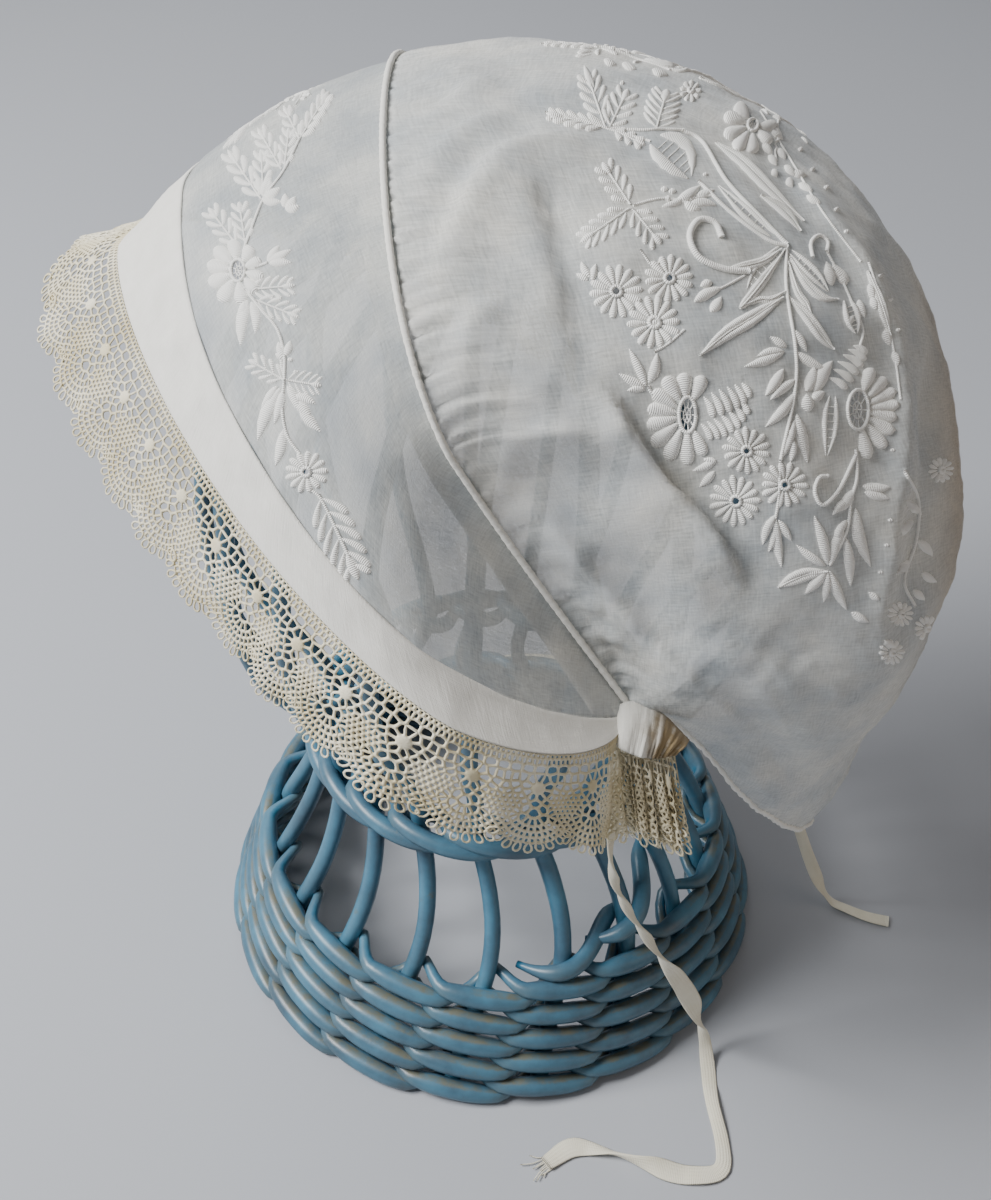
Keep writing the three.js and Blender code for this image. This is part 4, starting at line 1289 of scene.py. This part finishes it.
def addCornerGather(name, mirrored):
    top = alongLine([cornerPoint(*spot) for spot in corner["top"]], corner["step"])[0]
    rows, count = corner["rows"], len(top)
    bottom = alongLine([cornerPoint(*spot) for spot in corner["bottom"]], 0.1)[0]
    bottom = bottom[np.round(np.linspace(0, len(bottom) - 1, count)).astype(int)]
    random = np.random.default_rng(corner["seed"])
    share = np.linspace(0, 1, rows)[:, None]
    place = np.linspace(0, 1, count)[None, :]
    drift = 0.1 * np.sin(place * 9) * share
    wave = np.abs(np.sin((place + drift) * math.pi * corner["pleats"])) ** 0.8
    wave = wave * (0.62 + 0.38 * np.sin(place * 31 + 1.0)) + 0.16 * np.sin(place * 88 + share * 3)
    height = corner["height"] * wave * (0.3 + 0.7 * share) * smooth(0.1, 0.55, place)
    height += corner["bulge"] * np.sin(share * math.pi * 0.9) * smooth(0, 0.2, place)
    height -= corner["leftSinks"] * (1 - smooth(0, 0.12, place))
    height -= corner["topSinks"] * (1 - smooth(0, 0.3, share))
    down = share[..., None]
    points = top[None] * (1 - down) + bottom[None] * down + viewBack * height[..., None]
    points += random.normal(0, corner["rough"], points.shape)
    if mirrored:
        points = turnedOver(points)
    uv = np.stack(np.meshgrid(np.arange(rows) * 1.0, np.arange(count) * corner["step"], indexing='ij'), -1)
    # painted shade with the cloth's yellowing: browner past the first quarter of the width, in stripes
    stainAndShade = corner["stainAndShade"] * smooth(0.25, 0.9, place) * (0.75 + 0.25 * np.cos(place * 37)) + 0 * share
    piece = addPiece(name, points.reshape(-1, 3), gridFaces(rows, count), yellowedAndShadedCotton,
                     uv.reshape(-1, 2), stainAndShade.ravel())
    applied(piece, 'SOLIDIFY', thickness=corner["thick"] * mm, offset=0)


addCornerGather("corner_gather_near", False)
addCornerGather("corner_gather_far", True)
print("corner gathers made")


# Whitework embroidery. Every motif is charted in the photo's pixels and laid on the cloth that its pixel
# meets. Widths and radii are pixels too, except a stem's.
satin = {"thick": 0.75, "roseThick": 1.1, "sunk": 0.15, "steps": 8, "across": 5, "longestStep": 6.5}
crownMotifs = {
    "leaves": [
        # (base, tip, half width)
        ((716, 460), (692, 471), 4), ((714, 471), (699, 487), 4), ((716, 462), (703, 459), 3.5),
        ((712, 283), (700, 287), 4), ((694, 302), (722, 288), 5), ((710, 312), (721, 297), 5),
        ((590, 278), (581, 262), 3.5), ((592, 281), (596, 264), 3.5), ((588, 281), (576, 274), 3),
        ((646, 387), (629, 349), 4), ((648, 384), (657, 353), 5), ((645, 388), (619, 374), 4),
        ((645, 390), (627, 391), 3.5), ((662, 207), (688, 196), 3), ((676, 203), (700, 186), 5),
        ((690, 203), (716, 206), 4), ((696, 196), (714, 190), 4), ((684, 203), (700, 210), 4),
        ((832, 286), (826, 262), 5), ((848, 282), (832, 264), 5), ((846, 285), (838, 272), 4),
        ((806, 392), (814, 366), 6), ((814, 393), (832, 361), 7), ((808, 412), (806, 394), 6),
        ((812, 400), (824, 392), 5), ((783, 369), (765, 396), 5), ((784, 352), (757, 356), 4),
        ((784, 352), (744, 367), 4.5), ((786, 348), (770, 337), 3.5), ((795, 352), (826, 370), 4.5),
        ((793, 330), (806, 352), 4), ((795, 393), (765, 427), 5), ((795, 380), (770, 400), 4.5),
        ((796, 414), (807, 463), 5.5), ((794, 420), (780, 460), 4), ((793, 440), (790, 462), 3.5),
        ((775, 515), (762, 545), 4), ((775, 518), (781, 568), 4.5), ((778, 520), (791, 541), 4),
        ((774, 528), (768, 552), 3), ((855, 508), (870, 567), 6), ((845, 537), (850, 586), 5),
        ((843, 530), (830, 560), 5), ((846, 520), (834, 545), 4), ((852, 490), (838, 512), 5),
        ((848, 500), (832, 515), 4), ((862, 486), (890, 487), 5), ((864, 492), (889, 499), 4.5),
        ((827, 565), (814, 516), 5), ((825, 566), (796, 545), 4), ((829, 566), (837, 530), 4),
        ((826, 570), (804, 594), 5), ((827, 571), (823, 602), 4), ((829, 571), (846, 610), 5),
        ((822, 572), (802, 572), 4), ((851, 612), (868, 622), 4), ((860, 622), (852, 612), 3),
        ((762, 145), (772, 155), 3.5), ((768, 156), (776, 166), 3.5), ((777, 149), (785, 160), 3.5),
        ((784, 166), (794, 176), 3.5), ((792, 172), (806, 176), 3.5), ((798, 184), (812, 192), 3.5),
        ((806, 196), (820, 204), 3.5), ((788, 178), (792, 188), 3.5), ((772, 170), (776, 178), 3),
        ((858, 300), (864, 318), 4), ((852, 316), (846, 326), 3.5), ((875, 310), (871, 296), 3.5),
        ((884, 330), (889, 346), 4), ((892, 352), (897, 366), 3.5), ((868, 284), (872, 302), 3.5),
        ((594, 88), (584, 66), 3), ((548, 117), (562, 121), 2.6), ((700, 76), (716, 84), 4),
        ((720, 88), (736, 92), 4), ((684, 72), (700, 78), 3.5), ((652, 70), (668, 76), 3.5),
        ((622, 64), (636, 70), 3.5), ((604, 60), (616, 66), 3), ((772, 128), (782, 140), 4),
        ((756, 96), (768, 106), 4), ((740, 88), (752, 94), 3.5),
        ((906, 500), (921, 515), 4), ((912, 520), (902, 536), 4), ((917, 540), (932, 556), 4.5),
        ((908, 560), (896, 574), 4), ((921, 572), (936, 582), 4), ((912, 590), (924, 600), 4),
        ((878, 600), (868, 592), 3.5), ((884, 640), (896, 648), 3.5),
    ],
    "longLeaves": [
        # (points along the middle, half width)
        ([(782, 298), (752, 318), (726, 334), (699, 356)], 8),
        ([(780, 250), (762, 262), (741, 267), (722, 271)], 5),
        ([(784, 250), (762, 282), (745, 303), (739, 309)], 5),
        ([(788, 257), (806, 284), (822, 298), (837, 300)], 5),
        ([(788, 297), (806, 316), (822, 338), (833, 350)], 6),
        ([(787, 262), (797, 292), (806, 305), (812, 322)], 4),
        ([(866, 271), (876, 294), (884, 318), (889, 336)], 5),
        ([(784, 292), (770, 300), (758, 300), (744, 306)], 4),
        ([(715, 143), (742, 162), (770, 190), (803, 222)], 6.5),
        ([(826, 571), (806, 574), (790, 580), (777, 587)], 7),
        ([(760, 196), (778, 207), (790, 218), (800, 232)], 5),
    ],
    "lobed": [
        # (base, tip, half width of the whole leaf, pairs of lobes)
        ((605, 128), (586, 72), 14, 5), ((609, 129), (628, 90), 15, 4), ((630, 205), (602, 163), 13, 4),
        ((629, 209), (580, 243), 13, 5), ((632, 209), (661, 245), 14, 4), ((656, 130), (667, 90), 19, 6),
        ((606, 128), (546, 114), 7, 5), ((612, 130), (645, 146), 6, 3),
    ],
    "daisies": [
        # (middle, radius, petals, eyelet radius)
        ((616, 292), 27, 14, 3.6), ((669, 279), 25, 14, 2.6), ((654, 323), 27, 14, 0),
        ((746, 451), 24, 14, 1.6), ((784, 485), 24, 14, 1.8), ((735, 501), 26, 15, 3.4),
        ((900, 614), 13, 12, 0), ((926, 628), 13, 12, 0), ((891, 652), 13, 12, 0), ((690, 92), 11, 9, 0),
        ((940, 470), 13, 12, 0),
    ],
    "roses": [
        # (middle of the hole, its half width and half height, petals as (angle, inner, outer, half width))
        ((687, 415), (8.5, 18), [(95, 21, 42, 9), (120, 19, 44, 9.5), (146, 15, 42, 9), (171, 13, 40, 9),
                                 (196, 13, 42, 9), (221, 16, 47, 9), (246, 19, 50, 9), (270, 20, 50, 8.5),
                                 (292, 20, 44, 8), (68, 19, 42, 8.5)]),
        ((857, 410), (10.5, 20), [(72, 24, 44, 8), (50, 21, 42, 8), (28, 16, 42, 8), (8, 14, 41, 8),
                                  (-12, 14, 39, 8), (-33, 17, 42, 8), (-55, 21, 47, 8), (-78, 23, 50, 8)]),
        ((752, 126), (5, 6), [(90, 10, 26, 7), (125, 9, 27, 8), (160, 8, 30, 8), (200, 8, 30, 8),
                              (235, 9, 30, 8), (270, 10, 28, 8), (315, 9, 26, 7), (0, 8, 24, 7),
                              (45, 9, 24, 7)]),
    ],
    "veined": [
        # broad petals worked in rows: (points round the edge's middle line, half width)
        ([(706, 408), (722, 402), (738, 396), (750, 388)], 13),
        ([(704, 432), (720, 428), (736, 418), (748, 405)], 11),
        ([(836, 386), (846, 370), (856, 356), (862, 346)], 12),
    ],
    "buds": [
        # (points along the middle, half width): two curved sides with rungs between
        ([(655, 140), (668, 148), (682, 162), (690, 178)], 20),
        ([(772, 236), (755, 222), (738, 206), (718, 186)], 6),
        ([(784, 246), (768, 262), (756, 276), (747, 291)], 8),
        ([(790, 252), (804, 266), (816, 278), (828, 292)], 6),
        ([(832, 396), (830, 414), (829, 434), (826, 456)], 8),
        ([(846, 300), (850, 312), (853, 324), (856, 334)], 8),
    ],
    "stems": [
        # (points, half thickness in mm)
        ([(682, 132), (702, 143), (726, 182), (760, 218), (786, 245)], 0.55),
        ([(698, 182), (730, 213), (766, 240), (787, 247)], 0.5),
        ([(786, 249), (786, 290), (795, 350), (794, 394), (780, 460)], 0.42),
        ([(721, 238), (714, 224), (698, 221), (689, 238), (699, 259), (724, 270), (748, 272)], 0.75),
        ([(633, 206), (650, 201), (668, 199), (690, 204)], 0.35),
        ([(812, 258), (810, 244), (818, 236), (827, 242), (826, 252)], 0.5),
        ([(826, 252), (838, 274), (850, 300), (862, 330), (858, 350)], 0.35),
        ([(855, 449), (856, 478), (850, 500), (846, 530), (829, 565)], 0.42),
        ([(855, 455), (838, 490), (822, 505), (814, 492), (818, 478), (827, 476)], 0.5),
        ([(780, 460), (778, 500), (775, 518)], 0.35), ([(690, 200), (710, 196)], 0.35),
        ([(700, 296), (722, 288), (744, 276)], 0.3), ([(654, 352), (668, 344), (684, 330)], 0.3),
        ([(648, 386), (652, 394), (664, 398)], 0.4), ([(545, 113), (580, 120), (606, 129), (650, 142)], 0.35),
        ([(606, 129), (640, 131), (660, 130), (684, 131)], 0.4),
        ([(868, 262), (880, 300), (893, 350), (900, 400)], 0.3),
        ([(640, 250), (652, 266), (660, 262)], 0.25),
        ([(903, 470), (917, 500), (915, 540), (903, 580), (914, 606)], 0.45),
        ([(590, 66), (640, 72), (700, 84), (745, 100)], 0.35),
        ([(760, 112), (790, 160), (822, 212), (860, 262)], 0.3),
    ],
    "dots": [
        # (middle, radius)
        ((664, 190), 3.6), ((672, 192), 3.6), ((668, 199), 3.4), ((858, 617), 3), ((612, 50), 2.6),
        ((622, 84), 2.2), ((800, 150), 2.6), ((812, 170), 2.6), ((826, 188), 2.6), ((836, 210), 2.6),
        ((846, 232), 2.6), ((880, 276), 2.4), ((890, 300), 2.4), ((898, 330), 2.4), ((893, 430), 2.6),
        ((892, 450), 2.6), ((890, 520), 2.6), ((886, 545), 2.6), ((880, 572), 2.6), ((705, 175), 2.4),
    ],
}
bandMotifs = {
    "leaves": [
        ((268, 262), (292, 250), 4), ((268, 262), (280, 246), 4), ((270, 264), (292, 263), 4),
        ((285, 357), (279, 342), 4), ((286, 356), (291, 341), 4), ((285, 360), (276, 354), 3.5),
        ((285, 380), (281, 344), 1.6), ((284, 430), (276, 466), 5), ((248, 300), (241, 346), 5.5),
        ((252, 302), (256, 334), 4.5), ((246, 300), (237, 322), 4.5), ((281, 388), (258, 441), 6),
        ((284, 390), (275, 424), 4.5), ((278, 386), (262, 408), 4.5), ((288, 386), (302, 414), 4.5),
        ((296, 402), (312, 420), 5), ((300, 408), (321, 432), 5), ((294, 396), (316, 404), 4.5),
        ((286, 210), (296, 197), 4), ((286, 210), (300, 206), 4), ((284, 208), (286, 194), 4),
        ((262, 196), (272, 178), 4), ((264, 198), (281, 188), 4), ((262, 200), (282, 202), 4),
    ],
    "lobed": [
        ((250, 290), (296, 286), 12, 5), ((256, 300), (300, 318), 12, 5), ((284, 380), (249, 360), 12, 4),
        ((286, 380), (322, 386), 13, 5), ((238, 246), (209, 208), 12, 4), ((246, 244), (240, 202), 11, 4),
        ((262, 200), (228, 150), 11, 4), ((264, 198), (262, 150), 10, 4), ((320, 494), (359, 580), 21, 6),
        ((282, 170), (258, 128), 10, 4), ((285, 168), (290, 128), 9, 4), ((300, 140), (330, 92), 8, 5),
        ((300, 140), (284, 106), 8, 3),
    ],
    "daisies": [((307, 472), 22, 13, 3.4)],
    "roses": [((239, 271), (7, 11), [(100, 13, 31, 8), (135, 12, 32, 9), (170, 10, 31, 9), (205, 11, 32, 9),
                                     (240, 13, 36, 9), (275, 13, 34, 8), (310, 12, 28, 8), (345, 9, 26, 7),
                                     (25, 9, 25, 7), (62, 12, 28, 7.5)])],
    "stems": [
        ([(300, 140), (284, 172), (264, 200), (250, 236), (244, 252)], 0.4),
        ([(246, 290), (262, 310), (278, 330), (285, 356), (285, 380)], 0.38),
        ([(285, 380), (283, 410), (288, 436), (300, 454)], 0.38),
        ([(312, 490), (322, 500), (340, 536), (356, 572)], 0.34),
        ([(256, 268), (268, 263)], 0.35),
    ],
    "dots": [((291, 360), 3), ((296, 372), 2.4)],
}


def pixelsToCloth(tree, pixels):
    # where each pixel's line of sight meets the cloth
    hits = np.full((len(pixels), 3), np.nan)
    for i, pixel in enumerate(pixels):
        spot = hitPixel(tree, pixel)
        if spot is not None:
            hits[i] = spot
    return hits


def leafPatch(middle, half, rounded=False, steps=satin["steps"]):
    # outline of a leaf in pixels round its middle line: rows along, columns across, and its padding's height
    share = (1 - np.cos(np.linspace(0, math.pi, steps + 1))) / 2
    line = curve(middle, np.linspace(0, 1, len(middle)), share)
    ahead = unit(np.gradient(line, axis=0))
    side = np.stack([-ahead[:, 1], ahead[:, 0]], 1)
    if rounded:
        profile = share ** 0.55 * np.sqrt(np.clip(1 - share ** 5, 0, 1))
    else:
        profile = np.sin(share ** 0.85 * math.pi) ** 0.75
    profile = np.maximum(profile, 0.1)
    columns = np.linspace(-1, 1, satin["across"])
    pixels = line[:, None] + side[:, None] * (half * profile)[:, None, None] * columns[None, :, None]
    height = np.sqrt(np.clip(profile, 0, 1))[:, None] * np.sqrt(np.maximum(1 - columns ** 2, 0))[None]
    return pixels, height


class StitchPile:
    # closed padded patches and threads that end up in one mesh
    def __init__(self, tree):
        self.tree = tree
        self.parts = []

    def addLeaf(self, middle, half, thick=satin["thick"], **shape):
        # left out where it misses the cloth or would stretch over the cloth's edge
        pixels, height = leafPatch(middle, half, **shape)
        spots = pixelsToCloth(self.tree, pixels.reshape(-1, 2)).reshape(*height.shape, 3)
        steps = np.linalg.norm(np.diff(spots, axis=0), axis=2)
        if not np.isnan(spots).any() and steps.max() <= satin["longestStep"]:
            self.addPatch(spots, height, thick)

    def addPatch(self, spots, height, thick):
        rows, columns = spots.shape[:2]
        across = np.linalg.norm(spots[:, -1] - spots[:, 0], axis=1).max()
        dome = np.minimum(thick, across * 0.42)
        outward = unit(spots - np.array(cap["middle"]))
        top = spots + outward * (height * dome)[..., None]
        bottom = spots - outward * satin["sunk"]
        vertices = np.concatenate([top.reshape(-1, 3), bottom.reshape(-1, 3)])
        quads = gridFaces(rows, columns)
        wound = np.cross(top[1, 1] - top[0, 1], top[1, 2] - top[1, 1])
        flip = wound @ outward[1, 1] < 0
        quads = quads[:, ::-1] if not flip else quads
        count = rows * columns
        ids = np.arange(count).reshape(rows, columns)
        ids = [int(i) for side in (ids[0], ids[1:, -1], ids[-1, -2::-1], ids[-2:0:-1, 0]) for i in side]
        faces = [list(face) for face in quads] + [[int(i) + count for i in face[::-1]] for face in quads]
        for first, second in zip(ids, ids[1:] + ids[:1]):
            wall = [first, second, second + count, first + count]
            faces.append(wall if not flip else wall[::-1])
        along = distances(spots[:, columns // 2])
        uv = np.stack([np.repeat(along, columns), np.tile(np.linspace(0, across, columns), rows)], 1)
        self.parts.append((vertices, faces, np.concatenate([uv, uv])))

    def addThread(self, pixels, radius, lift=0.2, sides=6, closed=False):
        if not closed:
            share = np.linspace(0, 1, max(int(distances(pixels)[-1] / 4), 3))
            pixels = curve(pixels, np.linspace(0, 1, len(pixels)), share)
        hits = pixelsToCloth(self.tree, pixels)
        if np.isnan(hits).any() or np.linalg.norm(np.diff(hits, axis=0), axis=1).max() > 6:
            return
        outward = unit(hits - np.array(cap["middle"]))
        self.parts.append(tube(hits + outward * lift, radius, sides, closed, guide=outward.mean(0)))


def petalLine(middle, angle, inner, outer):
    way = np.array([math.cos(math.radians(angle)), -math.sin(math.radians(angle))])
    return [np.array(middle) + way * reach for reach in np.linspace(inner, outer, 3)]


def oval(middle, halfSize, count):
    around = np.linspace(0, 2 * math.pi, count, endpoint=False)
    return np.array(middle) + np.stack([np.cos(around), np.sin(around)], 1) * halfSize


def acrossRun(run):
    return np.array([-run[1], run[0]])


def placeAlong(points, at):
    return np.array([np.interp(at, np.linspace(0, 1, len(points)), points[:, axis]) for axis in (0, 1)])


def addLobed(pile, base, tip, half, pairs):
    base, tip = np.array(base, float), np.array(tip, float)
    run = tip - base
    side = acrossRun(run) / np.linalg.norm(run)
    pile.addThread([base, base + run * 0.5, base + run * 0.86], 0.24)
    for i in range(pairs):
        at = (i + 0.35) / (pairs + 0.55)
        reach = half * (1.12 - 0.45 * at) * (0.75 + 0.25 * math.sin(at * math.pi))
        for way in (-1, 1):
            start = base + run * at + side * way * 0.6
            end = base + run * min(at + 0.26, 0.98) + side * way * reach
            pile.addLeaf([start, (start + end) / 2 + side * way * reach * 0.08, end],
                         max(np.linalg.norm(run) / pairs * 0.36, 2.6), rounded=True, steps=7)
    pile.addLeaf([base + run * 0.7, base + run * 0.88, tip], max(half * 0.3, 2.8), steps=6)


def addDot(pile, middle, radius):
    pile.addLeaf([np.array(middle) - (radius, 0), middle, np.array(middle) + (radius, 0)], radius, steps=5)


def addDaisy(pile, middle, radius, petals, eyelet):
    turn = motifRandom.uniform(0, 25)
    for k in range(petals):
        reach = radius * motifRandom.uniform(0.93, 1.03)
        pile.addLeaf(petalLine(middle, turn + k * 360 / petals, radius * 0.24, reach), radius * 3.0 / petals,
                     rounded=True, steps=7)
    pile.addThread(oval(middle, radius * 0.19, 12), 0.4 if eyelet else 0.5, 0.35, closed=True)
    if not eyelet:
        addDot(pile, middle, radius * 0.16)


def addRose(pile, middle, halfSize, petals):
    for angle, inner, outer, half in petals:
        pile.addLeaf(petalLine(middle, angle, inner * 0.8, outer), half * 1.28, satin["roseThick"],
                     rounded=True)
    ring = oval(middle, halfSize, 18)
    pile.addThread(ring, 0.42, 0.3, closed=True)
    # a web of threads in the hole
    small = oval(middle, np.array(halfSize) * 0.42, 18)
    pile.addThread(small, 0.17, 0.05, 5, closed=True)
    for k in range(0, len(ring), 2):
        pile.addThread([ring[k], (ring[k] + small[k]) / 2, small[k]], 0.15, 0.05, 5)
    for k in range(0, len(ring) // 2, 3):
        knot = np.array(middle) + motifRandom.uniform(-1, 1, 2)
        pile.addThread([small[k], knot, small[k + len(ring) // 2]], 0.14, 0.05, 5)


def addBud(pile, points, half):
    points = np.asarray(points, float)
    side = acrossRun(unit(points[-1] - points[0]))
    bulge = np.sin(np.linspace(0.12, 0.98, len(points)) * math.pi)[:, None] ** 0.7
    for way in (-1, 1):
        pile.addLeaf(points + side * way * half * 0.72 * bulge, max(half * 0.34, 2.6))
    for at in np.linspace(0.2, 0.85, 6):
        place = placeAlong(points, at)
        wide = half * 0.6 * math.sin(at * math.pi) ** 0.7
        pile.addThread([place - side * wide, place, place + side * wide], 0.17, 0.12, 5)


def addVeined(pile, points, half):
    # a broad petal filled with satin bars side by side
    points = np.asarray(points, float)
    length = np.linalg.norm(points[-1] - points[0])
    run = (points[-1] - points[0]) / length
    side = acrossRun(run)
    bars = max(int(length / 7), 3)
    for i in range(bars):
        at = (i + 0.5) / bars
        place = placeAlong(points, at)
        reach = half * math.sin((0.22 + 0.7 * at) * math.pi) ** 0.5
        pile.addLeaf([place - side * reach - run * 2, place, place + side * reach - run * 2],
                     length / bars * 0.76, rounded=True, steps=7)


def addSmallLeaf(pile, base, tip, half):
    bow = acrossRun(np.array(tip, float) - base) * motifRandom.uniform(-0.08, 0.08)
    pile.addLeaf([base, (np.array(base) + tip) / 2 + bow, tip], half * 1.25)


def addLongLeaf(pile, points, half):
    # two halves with a vein between
    points = np.asarray(points, float)
    side = acrossRun(unit(points[-1] - points[0]))
    bulge = np.sin(np.linspace(0.04, 0.98, len(points)) * math.pi)[:, None]
    for way in (-0.5, 0.5):
        pile.addLeaf(points + side * half * way * bulge, half * 0.56, steps=12)
    pile.addThread(points, 0.2, 0.5, 5)


def addStem(pile, points, radius):
    pile.addThread(points, radius, radius * 0.5)


stitches = {"leaves": addSmallLeaf, "longLeaves": addLongLeaf, "lobed": addLobed, "daisies": addDaisy,
            "roses": addRose, "veined": addVeined, "buds": addBud, "stems": addStem, "dots": addDot}


# The far side leaves out a shape that lies on the middle or over a near one, or that the cloth would move far
farSide = {"pastMiddle": 2, "apart": 4, "lowest": -0.3, "highest": 1.4, "moved": 9}


def mirroredParts(parts, tree):
    # the side that the photo doesn't show repeats the motifs, turned over and laid on its own cloth
    origin = np.array(cap["middle"], float)
    near = np.concatenate([part[0] for part in parts])
    index = KDTree(len(near))
    for i, spot in enumerate(near):
        index.insert(Vector(spot), i)
    index.balance()
    made = []
    for vertices, faces, uv in parts:
        over = turnedOver(vertices)
        middle = over.mean(0)
        centre = (middle[1] + vertices[:, 1].mean()) / 2
        if middle[1] < centre + farSide["pastMiddle"] or index.find(Vector(middle))[2] < farSide["apart"]:
            continue
        ways = unit(over - origin)
        ground = [tree.ray_cast(Vector(origin), Vector(way))[0] for way in ways]
        before = [tree.ray_cast(Vector(origin), Vector(way))[0] for way in unit(vertices - origin)]
        if any(spot is None for spot in ground + before):
            continue
        heights = np.linalg.norm(vertices - origin, axis=1)
        heights -= np.linalg.norm(np.array(before) - origin, axis=1)
        laid = np.array(ground) + ways * np.clip(heights, farSide["lowest"], farSide["highest"])[:, None]
        if np.linalg.norm(laid - over, axis=1).max() < farSide["moved"]:
            made.append((laid, [face[::-1] for face in faces], uv))
    return made


def cutEyelets(piece, motifs):
    # real holes under the eyelets' stitched rings, on both sides of the cap
    holes = [(middle, (eyelet * 1.5, eyelet * 1.5)) for middle, _, _, eyelet in motifs["daisies"] if eyelet]
    holes += [(middle, halfSize) for middle, halfSize, _ in motifs["roses"]]
    work = bmesh.new()
    work.from_mesh(piece.data)

    def inside(reach):
        work.faces.ensure_lookup_table()
        spots = np.array([face.calc_center_median() for face in work.faces]) / mm - footPlace
        found = np.zeros(len(spots), bool)
        for middle, halfSize in holes:
            hit = hitPixel(smoothTree, middle)
            for view in (spots, turnedOver(spots)):
                near = np.linalg.norm(view - hit, axis=1) < 22
                apart = (pixelsOf(view) - np.array(middle)) / (np.array(halfSize) + (reach - 1) * 5)
                found |= near & (np.linalg.norm(apart, axis=1) < min(reach, 1))
        return [work.faces[i] for i in np.flatnonzero(found)]

    around = inside(2.0)
    edges = {edge for face in around for edge in face.edges}
    bmesh.ops.subdivide_edges(work, edges=list(edges), cuts=3, use_grid_fill=True)
    bmesh.ops.delete(work, geom=inside(1.0), context='FACES')
    work.to_mesh(piece.data)
    work.free()


def addEmbroidery(name, tree, motifs):
    pile = StitchPile(tree)
    for kind, addMotif in stitches.items():
        for values in motifs.get(kind, []):
            addMotif(pile, *values)
    for side, parts in (("_near", pile.parts), ("_far", mirroredParts(pile.parts, tree))):
        vertices, faces, uv = joined(parts)
        print(name + side, len(parts), "stitched shapes", len(faces), "faces")
        addPiece(name + side, vertices, faces, embroideryCotton, uv)


motifRandom = np.random.default_rng(44)
cutEyelets(crownCloth, crownMotifs)
cutEyelets(bandCloth, bandMotifs)
applied(crownCloth, 'SOLIDIFY', thickness=crown["thick"] * mm, offset=0)
applied(bandCloth, 'SOLIDIFY', thickness=band["thick"] * mm, offset=0)
addEmbroidery("crown_embroidery", crownTree, crownMotifs)
addEmbroidery("band_embroidery", bandTree, bandMotifs)
print("embroidery made")


# Plain floor and soft studio light from the upper left
light = {
    "floor": "#aeb1b7",
    "key": {"place": (-0.95, -0.15, 1.05), "size": 0.6, "power": 34.0},
    "fill": {"place": (1.1, -0.5, 0.5), "size": 1.0, "power": 2.2},
    "rim": {"place": (-0.3, 1.1, 0.9), "size": 1.0, "power": 4.0},
    "warmth": (1.0, 0.8, 0.6),
    "sky": 0.2,
}


def addFloor():
    bpy.ops.mesh.primitive_plane_add(size=6)
    plane = bpy.context.object
    plane.name = "floor"
    material, surface = startMaterial("matt studio paper", Roughness=0.9, Base_Color=linear(light["floor"]))
    plane.data.materials.append(material)


def addLight(name):
    values = light[name]
    bpy.ops.object.light_add(type='AREA', location=values["place"])
    lamp = bpy.context.object
    lamp.name = name + "_light"
    lamp.data.size = values["size"]
    lamp.data.energy = values["power"]
    if name == "fill":
        lamp.data.color = light["warmth"]
    aim = Vector((0, 0, 0.14)) - lamp.location
    lamp.rotation_euler = aim.to_track_quat('-Z', 'Y').to_euler()


def addSky():
    world = bpy.data.worlds.new("studio")
    world.use_nodes = True
    background = world.node_tree.nodes["Background"]
    background.inputs["Color"].default_value = (0.93, 0.95, 1.0, 1.0)
    background.inputs["Strength"].default_value = light["sky"]
    bpy.context.scene.world = world


addFloor()
for lampName in ("key", "fill", "rim"):
    addLight(lampName)
addSky()
